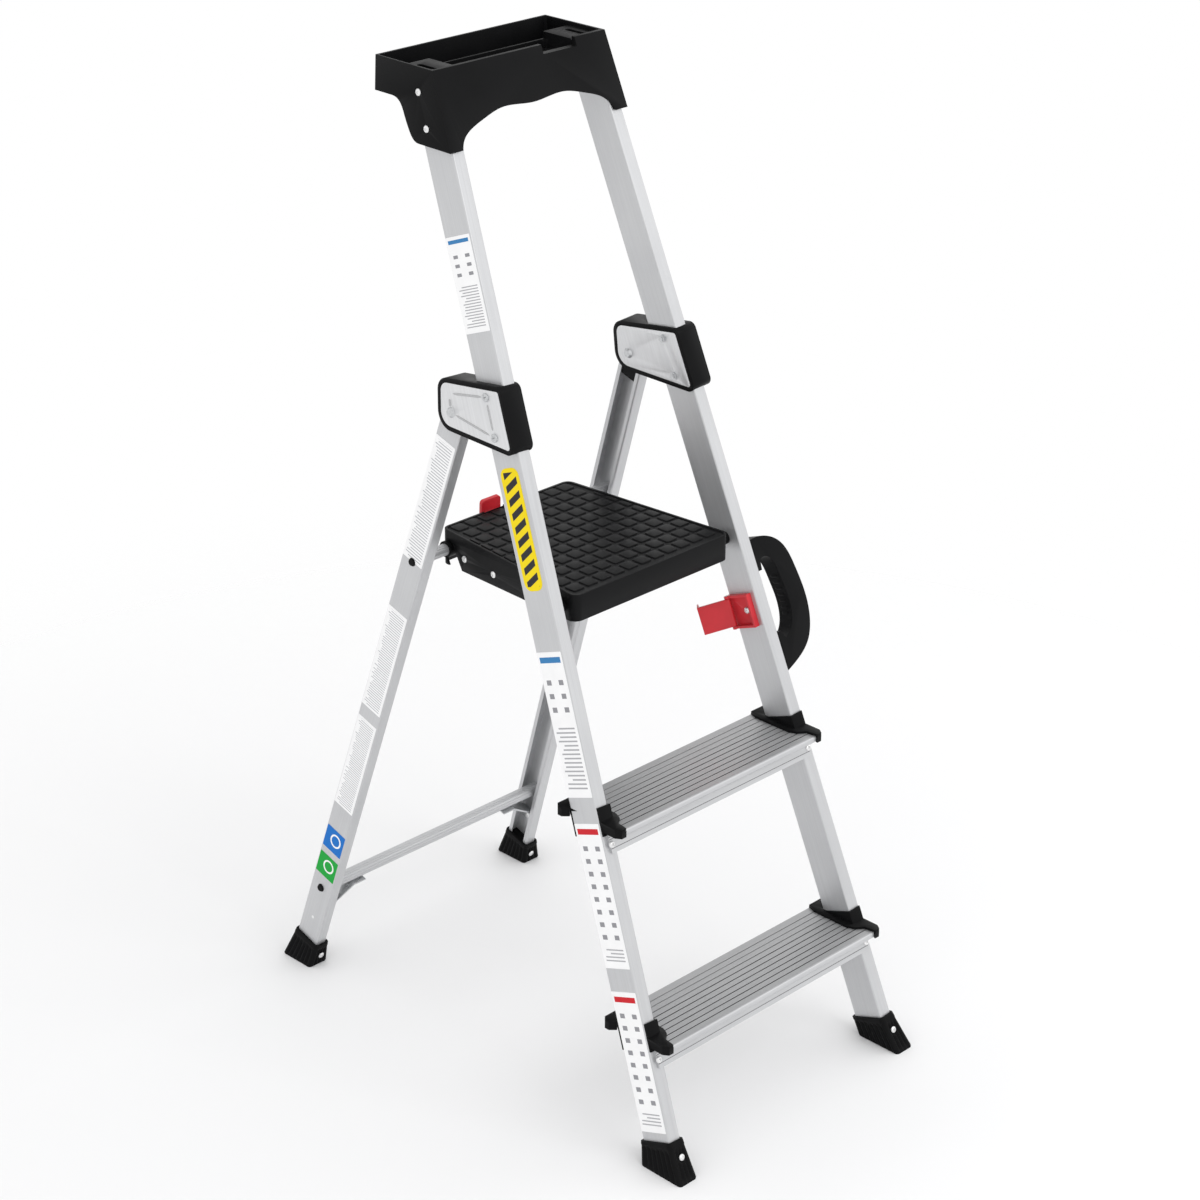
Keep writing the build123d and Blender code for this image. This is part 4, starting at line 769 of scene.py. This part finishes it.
class LADDER_OT_deck(bpy.types.Operator):
    """Builds the standing platform's moulding and its grid of raised grip pads"""
    bl_idname = "ladder.deck"
    bl_label = "Build the deck"

    def execute(self, context):
        """A pad's outline is a rounded square about a point of a square grid, and its points are
        brought no further out than the half width there, which falls with the tangent of the taper.
        The block's rings are that outline at the foot, and drawn in towards the middle at the top.
        """
        size = sizes()
        narrowest = 0.0035  # a pad cut narrower than this is left out
        drawn_in = 0.0011  # the top's edge inside the foot's at the sides
        share_in = 0.11  # the same at front and back, as a share of the pad
        row_pitch = size.pad_pitch * 0.99
        softened("platform_deck", "deck_moulding", finish_for("deck_plastic"), size.moulded_edge)
        recess = deck_recess()
        column, row = (grid.ravel()[:, None] for grid in np.meshgrid(np.arange(-6, 7), np.arange(11)))
        half = (size.pad_pitch - size.pad_gap) / 2
        outline = rounded_outline(half, half * 0.98, size.pad_corner, 2, 4)[0]
        y = recess["front"] + size.first_row + row * row_pitch + outline[None, :, 1]
        limit = recess["half"] - size.pad_margin - math.tan(size.deck_taper) * (y - recess["at"])
        x = np.clip(column * size.pad_pitch + outline[None, :, 0], -limit, limit)
        keep = np.ptp(x, axis=1) > narrowest
        x, y = x[keep], y[keep]
        middle_x, middle_y = (x.max(1, keepdims=True) + x.min(1, keepdims=True)) / 2, y.mean(1, keepdims=True)
        narrowed = np.minimum(drawn_in / (np.ptp(x, axis=1)[:, None] / 2), 0.5)

        def ring(share, height):
            """The pads' outlines drawn in by a share of the edge, at a height over the recess."""
            across = middle_x + (x - middle_x) * (1 - share * narrowed)
            away = middle_y + (y - middle_y) * (1 - share * share_in)
            return np.stack([recess["middle"] + across, away,
                             np.full(x.shape, recess["floor"] + height)], -1)

        lift = size.pad_height
        rings = np.stack([ring(0.0, -0.0003), ring(0.15, lift * 0.45), ring(0.45, lift * 0.9),
                          ring(1.0, lift)], 1)
        points, faces = many([closed_shell(pad) for pad in rings])
        place("deck_grip_pads", build_mesh("deck_grip_pads", points, faces, 60.0),
              finish_for("deck_plastic"), "platform")
        return {"FINISHED"}


def rounded_outline(half_x, half_y, corner, along_side, round_corner):
    """Points, outward directions and side coordinates round a rounded rectangle.

    Each corner is a quarter circle about a centre set in by the radius, and each side is a straight
    line between two corners. The side coordinate runs from nought to one along a side, and is
    nought in the corners. The last value is one on the two long sides.
    """
    turn = np.linspace(0, math.pi / 2, round_corner)
    share = np.linspace(0, 1, along_side + 2)[1:-1]
    points, normals, position, long_side = [], [], [], []
    arcs = []
    for quarter, (x_sign, y_sign) in enumerate(((1, 1), (-1, 1), (-1, -1), (1, -1))):
        angle = turn + quarter * math.pi / 2
        direction = np.stack([np.cos(angle), np.sin(angle)], -1)
        centre = np.array([x_sign * (half_x - corner), y_sign * (half_y - corner)])
        arcs.append((centre + corner * direction, direction))
    for quarter, (arc, direction) in enumerate(arcs):
        following = arcs[(quarter + 1) % 4][0][0]
        points += [arc, arc[-1] * (1 - share[:, None]) + following * share[:, None]]
        normals += [direction, np.repeat(direction[-1:], along_side, 0)]
        position += [np.zeros(round_corner), share]
        side = np.abs(direction[-1, 0]) > 0.5
        long_side += [np.zeros(round_corner), np.full(along_side, float(side))]
    return tuple(np.concatenate(values) for values in (points, normals, position, long_side))


def boot_shell(node, tube, rivet):
    """A fluted boot lofted from its sole to its collar.

    A point goes in a straight line from the sole's outline to the collar's, and is drawn in by the
    flute depth times the squared sine of its place along the side, fading to nothing at the sole
    and under the collar. Round the rivet the front is pressed back to the head's seat. Over the
    collar the surface turns in to the tube and down inside it.
    """
    size = sizes()
    corner, clearance, inner_corner, lip, tuck = 0.0055, 0.0002, 0.0027, 0.0006, 0.004
    points = mesh_points(node)
    sole = points[points[:, 2] < 1e-5]
    low, high = sole.min(0), sole.max(0)
    foot_height = (tube.up @ (points - tube.origin).T).max()
    around = dict(along_side=44, round_corner=7)
    bottom, normal, position, long_side = rounded_outline(
        (high[0] - low[0]) / 2, (high[1] - low[1]) / 2, corner, **around)
    top, inside = (rounded_outline(tube.thickness / 2 + gap, tube.depth / 2 + gap, radius, **around)[0]
                   for gap, radius in ((size.boot_wall, corner), (clearance, inner_corner)))
    centre = (low + high) / 2

    def on_floor(outline, height):
        """Outline points over the sole's middle."""
        return np.stack([centre[0] + outline[:, 0] * tube.sign, centre[1] + outline[:, 1],
                         np.full(len(outline), height)], -1)

    def on_tube(outline, height):
        """Outline points round the tube's middle, at a distance up the tube."""
        return tube.at(outline[:, 0] + tube.thickness / 2, outline[:, 1] + tube.depth / 2,
                       np.full(len(outline), height))

    climb = np.linspace(0, 1, 44)
    lower, upper = on_floor(bottom, 0.0), on_tube(top, foot_height)
    outward = (on_floor(bottom + normal, 0.0) - lower)
    outward = outward / np.linalg.norm(outward, axis=1, keepdims=True)
    flutes = np.where(long_side > 0.5, size.side_flutes, size.front_flutes)
    wave = np.sin(math.pi * flutes * position) ** 2
    fade = smooth_step(climb, 0.0, 0.16) * (1 - smooth_step(climb, 0.70, 0.86))
    edge = 0.0012 * (1 - smooth_step(climb, 0.0, 0.05))
    collar = 0.0007 * smooth_step(climb, 0.84, 0.88)
    body = lower[None] * (1 - climb[:, None, None]) + upper[None] * climb[:, None, None]
    inset = size.flute_depth * fade[:, None] * wave[None] + edge[:, None] - collar[:, None]
    body = body - inset[..., None] * outward[None]
    distance = (body - rivet["seat"]) @ tube.back
    beside = np.linalg.norm(body - rivet["seat"] - distance[..., None] * tube.back, axis=-1)
    press = (1 - smooth_step(beside, rivet["radius"] + 0.0008, rivet["radius"] + 0.0032))
    front = (distance < 0.004) & (distance > -0.02)
    body = body + (press * front * np.maximum(0.0003 - distance, 0))[..., None] * tube.back
    rim = [on_tube(top - normal * 0.0001, foot_height + lip * 0.7),
           on_tube(top - normal * 0.0009, foot_height + lip),
           on_tube(inside, foot_height + lip * 0.7), on_tube(inside, foot_height - tuck)]
    return closed_shell(np.concatenate([body, np.stack(rim)]))


class LADDER_OT_boots(bpy.types.Operator):
    """Builds the four fluted rubber boots"""
    bl_idname = "ladder.boots"
    bl_label = "Build the boots"

    def execute(self, context):
        for end, tubes in (("front", STILES), ("rear", LEGS)):
            rivets = [fastener(part) for part in loose_parts(f"{end}_foot_rivets")]
            for side, tube in tubes.items():
                rivet = max(rivets, key=lambda found: -found["seat"][0] * tube.sign)
                node = f"{side}_{end}_foot"
                mesh = build_mesh(f"{node}_boot", *boot_shell(node, tube, rivet), 50.0)
                place(f"{node}_boot", mesh, finish_for("boot_rubber"), BODY_OF[node], (node,))
        return {"FINISHED"}


def handle_inner_face(along):
    """How far out the carry handle's inner face lies from the stile, at distances up the stile.

    The handle's edges are cut by a plane across the stile at each distance, and the nearest
    crossing to the stile is taken.
    """
    tube = STILES["right"]
    mesh = NODES["carry_handle"].data
    points = mesh_points("carry_handle") - tube.origin
    ends = np.empty(len(mesh.edges) * 2, int)
    mesh.edges.foreach_get("vertices", ends)
    first, second = points[ends[::2]], points[ends[1::2]]
    up_first, up_second = first @ tube.up, second @ tube.up
    found = []
    for height in along:
        crosses = (up_first - height) * (up_second - height) < 0
        share = (height - up_first[crosses]) / (up_second[crosses] - up_first[crosses])
        cut = first[crosses] + share[:, None] * (second[crosses] - first[crosses])
        found.append((-(cut @ tube.inward)).min())
    return np.array(found)


class LADDER_OT_carry_handle(bpy.types.Operator):
    """Rounds the carry handle and adds the finger ribs inside its grip"""
    bl_idname = "ladder.carry_handle"
    bl_label = "Build the carry handle"

    def execute(self, context):
        """A rib is half of a stretched ring across the grip: a point goes round the ring's ellipse
        as the angle goes round, and along the rib with a rounded fall at both ends."""
        tube = STILES["right"]
        ribs, from_foot, from_top = 7, 0.068, 0.062
        side_gap, sunk, rise, half_height = 0.0045, 0.0012, 0.0021, 0.0030
        softened("carry_handle", "carry_handle_moulding", finish_for("moulded_black"),
                 sizes().handle_edge, 4)
        points = mesh_points("carry_handle") - tube.origin
        up, across = points @ tube.up, points @ tube.back
        middle, half = (across.max() + across.min()) / 2, np.ptp(across) / 2
        heights = np.linspace(up.min() + from_foot, up.max() - from_top, ribs)
        angle = np.linspace(0, 2 * math.pi, 16, endpoint=False)
        along = np.linspace(-1, 1, 13)
        fall = np.sqrt(np.clip(1 - along ** 4, 0.02, 1))
        shells = []
        for height, out in zip(heights, handle_inner_face(heights)):
            depth = middle + along[:, None] * (half - side_gap) + 0 * angle[None]
            outward = out + sunk - rise * fall[:, None] * np.cos(angle)[None]
            climb = height + half_height * fall[:, None] * np.sin(angle)[None]
            shells.append(closed_shell(tube.at(-outward, depth, climb)))
        mesh = build_mesh("carry_handle_ribs", *many(shells))
        place("carry_handle_ribs", mesh, finish_for("moulded_black"), "front_frame")
        return {"FINISHED"}


def lathed(found, crossed):
    """A headed fastener turned about its axis.

    The head's radius is the cosine and its height the sine of an angle that grows towards the
    middle, over a low rim. A blind rivet has a round dimple with a stub in it. A screw's middle is
    sunk by a fourfold lobe, which leaves a cross.
    """
    turn = np.linspace(0, 2 * math.pi, 40, endpoint=False)
    rise = np.linspace(0, math.radians(64 if not crossed else 84), 9)
    radius, height = found["radius"], found["height"]
    dome_r, dome_h = radius * np.cos(rise), height * (0.22 + 0.78 * np.sin(rise))
    if crossed:
        dome_r = np.append(dome_r, radius * 0.02)
        dome_h = np.append(dome_h, height)
    else:
        dome_r = np.append(dome_r, radius * np.array([0.36, 0.33, 0.24, 0.20, 0.02]))
        dome_h = np.append(dome_h, height * np.array([0.88, 0.50, 0.48, 0.72, 0.74]))
    profile_r = np.concatenate([[0.0005 * found["shank"] / 0.0025, found["shank"], found["shank"], radius],
                                dome_r])
    profile_h = np.concatenate([[-found["length"], -found["length"], 0.0, 0.0], dome_h])
    distance = np.broadcast_to(profile_r[:, None], (len(profile_r), len(turn)))
    lift = np.repeat(profile_h[:, None], len(turn), 1)
    if crossed:
        lobe = np.abs(np.cos(2 * turn)) ** 6
        reach = 1 - smooth_step(distance, radius * 0.40, radius * 0.56)
        lift = lift - height * 0.45 * reach * lobe[None] * (profile_h[:, None] > 0)
    side = unit(np.cross(found["axis"], [0.31, 0.52, 0.79]))
    other = np.cross(found["axis"], side)
    rings = found["seat"] + lift[..., None] * found["axis"] + distance[..., None] * (
        np.cos(turn)[None, :, None] * side + np.sin(turn)[None, :, None] * other)
    return closed_shell(rings)


class LADDER_OT_fasteners(bpy.types.Operator):
    """Turns the heads of the blind rivets and of the screws and hinge bolts"""
    bl_idname = "ladder.fasteners"
    bl_label = "Build rivets and screws"

    def execute(self, context):
        rivets = ("tread_rivets", "tray_rivets", "front_foot_rivets", "rear_foot_rivets", "brace_rivets",
                  "platform_rivets")
        screws = ("hinge_bolts", "handle_screws", "storage_clip_screw")
        for nodes, crossed in ((rivets, False), (screws, True)):
            for node in nodes:
                shells = [lathed(fastener(part), crossed) for part in loose_parts(node)]
                mesh = build_mesh(f"{node}_turned", *many(shells), 32.0)
                finish = finish_for("zinc_steel" if node == "hinge_bolts" else "bright_head")
                place(f"{node}_turned", mesh, finish, BODY_OF[node], (node,))
        return {"FINISHED"}


def ridge_shell(start, end, normal, width, height):
    """A half-round bead between two points: along the line by one parameter, and round a half
    ellipse by the other, shrinking at both ends."""
    along = np.linspace(0, 1, 15)
    angle = np.linspace(0, 2 * math.pi, 12, endpoint=False)
    side = unit(np.cross(normal, end - start))
    fall = np.sqrt(np.clip(1 - np.abs(2 * along - 1) ** 8, 0.03, 1))
    line = start + along[:, None] * (end - start)
    rings = line[:, None] + fall[:, None, None] * (
        width / 2 * np.cos(angle)[None, :, None] * side + height * np.sin(angle)[None, :, None] * normal)
    return closed_shell(rings)


class LADDER_OT_plate_lines(bpy.types.Operator):
    """Adds the pressed lines that join the fasteners on the outer hinge plates"""
    bl_idname = "ladder.plate_lines"
    bl_label = "Build the plate lines"

    def execute(self, context):
        size = sizes()
        bolts = [fastener(part) for part in loose_parts("hinge_bolts")]
        pins = loose_parts("hinge_pivot_pins")
        for side, tube in STILES.items():
            plate = mesh_points(f"{side}_outer_hinge_plate") - tube.origin
            face = (plate @ tube.inward).min()
            own = [found["seat"] - tube.origin for found in bolts if found["seat"][0] * tube.sign < 0]
            own.sort(key=lambda seat: seat @ tube.up)
            pin = next(part.mean(0) for part in pins if part[:, 0].mean() * tube.sign < 0) - tube.origin
            low, high, hinge = ((seat @ tube.back, seat @ tube.up) for seat in (*own, pin))
            crown_back, crown_up = -0.004, 0.024
            crown = (hinge[0] + crown_back, hinge[1] + crown_up)
            corners = [low, high, crown, hinge]
            shells = []
            for first, second in zip(corners, corners[1:] + corners[:1]):
                ends = np.array([first, second])
                step = unit(ends[1] - ends[0])
                clear = 0.0075 if crown in (first, second) else 0.0088
                ends = ends + np.array([step, -step]) * clear
                start, end = (tube.at(face, *point) for point in ends)
                shells.append(ridge_shell(start, end, -tube.inward, size.ridge_width, size.ridge_height))
            name = f"{side}_plate_lines"
            # The lines' finish is painted darker than the plate, as painted shade along them.
            place(name, build_mesh(name, *many(shells)), finish_for("pressed_line_painted_shade"), "front_frame")
        return {"FINISHED"}


def label_mesh(name, tube, low, high, near, far, corner):
    """A thin label on a tube's outer face: a rounded rectangle set on the face, given thickness, with
    its own coordinates running from nought to one across and up it."""
    outline = rounded_outline((far - near) / 2, (high - low) / 2, corner, 6, 6)[0]
    back = outline[:, 0] + (far + near) / 2
    up = outline[:, 1] + (high + low) / 2
    thickness = sizes().label_thickness
    rings = np.stack([tube.at(0.0002, back, up), tube.at(-thickness, back, up)])
    points, faces = closed_shell(rings)
    mesh = build_mesh(name, points, faces, 30.0)
    corners = np.empty(len(mesh.loops), int)
    mesh.loops.foreach_get("vertex_index", corners)
    flat = np.stack([(np.tile(back, 2) - near) / (far - near), (np.tile(up, 2) - low) / (high - low)], -1)
    surface = mesh.uv_layers.new(name="surface")
    surface.data.foreach_set("uv", flat[corners].astype(np.float32).ravel())
    return mesh


class LADDER_OT_labels(bpy.types.Operator):
    """Sticks plain labels on the left stile and the left rear leg"""
    bl_idname = "ladder.labels"
    bl_label = "Build the labels"

    def execute(self, context):
        stile, leg = STILES["left"], LEGS["left"]
        size = sizes()
        wider_margin, rounder_corner = 3.6, 11
        for name, finish, tube, low, high in (
                ("label_top_sheet", "label_certificate", stile, 1.096, 1.216),
                ("label_stripe", "label_striped", stile, 0.770, 0.926),
                ("label_middle_sheet", "label_certificate", stile, 0.504, 0.692),
                ("label_low_sheet", "label_sheet", stile, 0.280, 0.470),
                ("label_foot_sheet", "label_sheet", stile, 0.062, 0.249),
                ("label_leg_top", "label_silver", leg, 0.705, 0.895),
                ("label_leg_middle", "label_silver", leg, 0.455, 0.622),
                ("label_leg_low", "label_silver", leg, 0.279, 0.435),
                ("label_leg_blue", "label_blue", leg, 0.199, 0.236),
                ("label_leg_green", "label_green", leg, 0.152, 0.188)):
            margin, corner = size.label_margin, size.label_corner
            if name == "label_stripe":
                margin, corner = margin * wider_margin, corner * rounder_corner
            mesh = label_mesh(name, tube, low, high, margin, tube.depth - margin, corner)
            place(name, mesh, finish_for(finish), "front_frame" if tube is stile else "rear_frame")
        return {"FINISHED"}


class LADDER_OT_stage(bpy.types.Operator):
    """Sets up the pale floor, the soft light and the camera"""
    bl_idname = "ladder.stage"
    bl_label = "Set up the studio"

    def execute(self, context):
        """The floor is a flat sheet. The camera's own axes come from its azimuth, elevation and roll."""
        studio = context.scene.ladder_studio
        across, away = np.linspace(-14, 14, 29), np.linspace(-8, 14, 45)
        wide, deep = len(across), len(away)
        x, y = np.meshgrid(across, away)
        points = np.stack([x, y, np.zeros_like(x)], -1).reshape(-1, 3)
        row, column = np.meshgrid(np.arange(deep - 1), np.arange(wide - 1), indexing="ij")
        start = row * wide + column
        quads = np.stack([start, start + 1, start + wide + 1, start + wide], -1).reshape(-1, 4)
        mesh = bpy.data.meshes.new("studio_floor")
        mesh.from_pydata(points.tolist(), [], quads.tolist())
        mesh.shade_smooth()
        mesh.materials.append(finish_for("studio_floor"))
        floor = bpy.data.objects.new("studio_floor", mesh)
        context.scene.collection.objects.link(floor)

        world = bpy.data.worlds.new("white_surroundings")
        world.use_nodes = True
        ground = world.node_tree.nodes["Background"]
        ground.inputs["Color"].default_value = (1.0, 1.0, 1.0, 1.0)
        ground.inputs["Strength"].default_value = studio.sky
        context.scene.world = world

        for name, spot, power, width in (
                ("key_light", (0.5, -3.6, 3.4), studio.key_power, 2.6),
                ("fill_light", (3.4, -1.6, 2.2), studio.fill_power, 2.8)):
            lamp = bpy.data.lights.new(name, "AREA")
            lamp.energy = power
            lamp.size = width
            light = bpy.data.objects.new(name, lamp)
            light.location = spot
            light.rotation_euler = (Vector((0, 0, 0.6)) - Vector(spot)).to_track_quat("-Z", "Y").to_euler()
            context.scene.collection.objects.link(light)

        azimuth, elevation, roll = studio.azimuth, studio.elevation, studio.roll
        back = Vector((math.sin(azimuth) * math.cos(elevation), -math.cos(azimuth) * math.cos(elevation),
                       math.sin(elevation)))
        right = (-back).cross(Vector((0, 0, 1))).normalized()
        up = back.cross(right)
        turned_right = right * math.cos(roll) + up * math.sin(roll)
        turned_up = up * math.cos(roll) - right * math.sin(roll)
        lens = bpy.data.cameras.new("camera")
        lens.lens = studio.lens
        lens.sensor_width = 36.0
        lens.shift_x, lens.shift_y = studio.shift
        lens.clip_start, lens.clip_end = 0.05, 60.0
        camera = bpy.data.objects.new("camera", lens)
        camera.matrix_world = Matrix((turned_right, turned_up, back)).transposed().to_4x4()
        camera.location = Vector(studio.aim) + back * studio.distance
        context.scene.collection.objects.link(camera)
        context.scene.camera = camera
        context.scene.view_settings.view_transform = "Standard"
        return {"FINISHED"}


OPERATORS = (
    LADDER_OT_cad_finishes, LADDER_OT_mouldings, LADDER_OT_deck, LADDER_OT_boots,
    LADDER_OT_carry_handle, LADDER_OT_fasteners, LADDER_OT_plate_lines, LADDER_OT_labels,
    LADDER_OT_stage,
)


class LADDER_PT_sidebar(bpy.types.Panel):
    """Lists the ladder's pieces and its studio"""
    bl_idname = "LADDER_PT_sidebar"
    bl_label = "Step ladder"
    bl_space_type = "VIEW_3D"
    bl_region_type = "UI"
    bl_category = "Ladder"

    def draw(self, context):
        for operator in OPERATORS:
            self.layout.operator(operator.bl_idname)
        for settings in (context.scene.ladder_sizes, context.scene.ladder_colours,
                         context.scene.ladder_studio):
            box = self.layout.box()
            for label in settings.bl_rna.properties.keys():
                if label not in ("rna_type", "name"):
                    box.prop(settings, label)


CLASSES = (LadderSizes, LadderColours, LadderStudio, *OPERATORS, LADDER_PT_sidebar)


def register():
    """Registers the classes and puts their settings on the scene."""
    for registered in CLASSES:
        bpy.utils.register_class(registered)
    bpy.types.Scene.ladder_sizes = PointerProperty(type=LadderSizes)
    bpy.types.Scene.ladder_colours = PointerProperty(type=LadderColours)
    bpy.types.Scene.ladder_studio = PointerProperty(type=LadderStudio)


def unregister():
    """Takes the settings and the classes away again."""
    for setting in ("ladder_studio", "ladder_colours", "ladder_sizes"):
        delattr(bpy.types.Scene, setting)
    for registered in reversed(CLASSES):
        bpy.utils.unregister_class(registered)


def main():
    register()
    for operator in OPERATORS:
        group, name = operator.bl_idname.split(".")
        getattr(getattr(bpy.ops, group), name)()


if __name__ == "__main__":
    main()
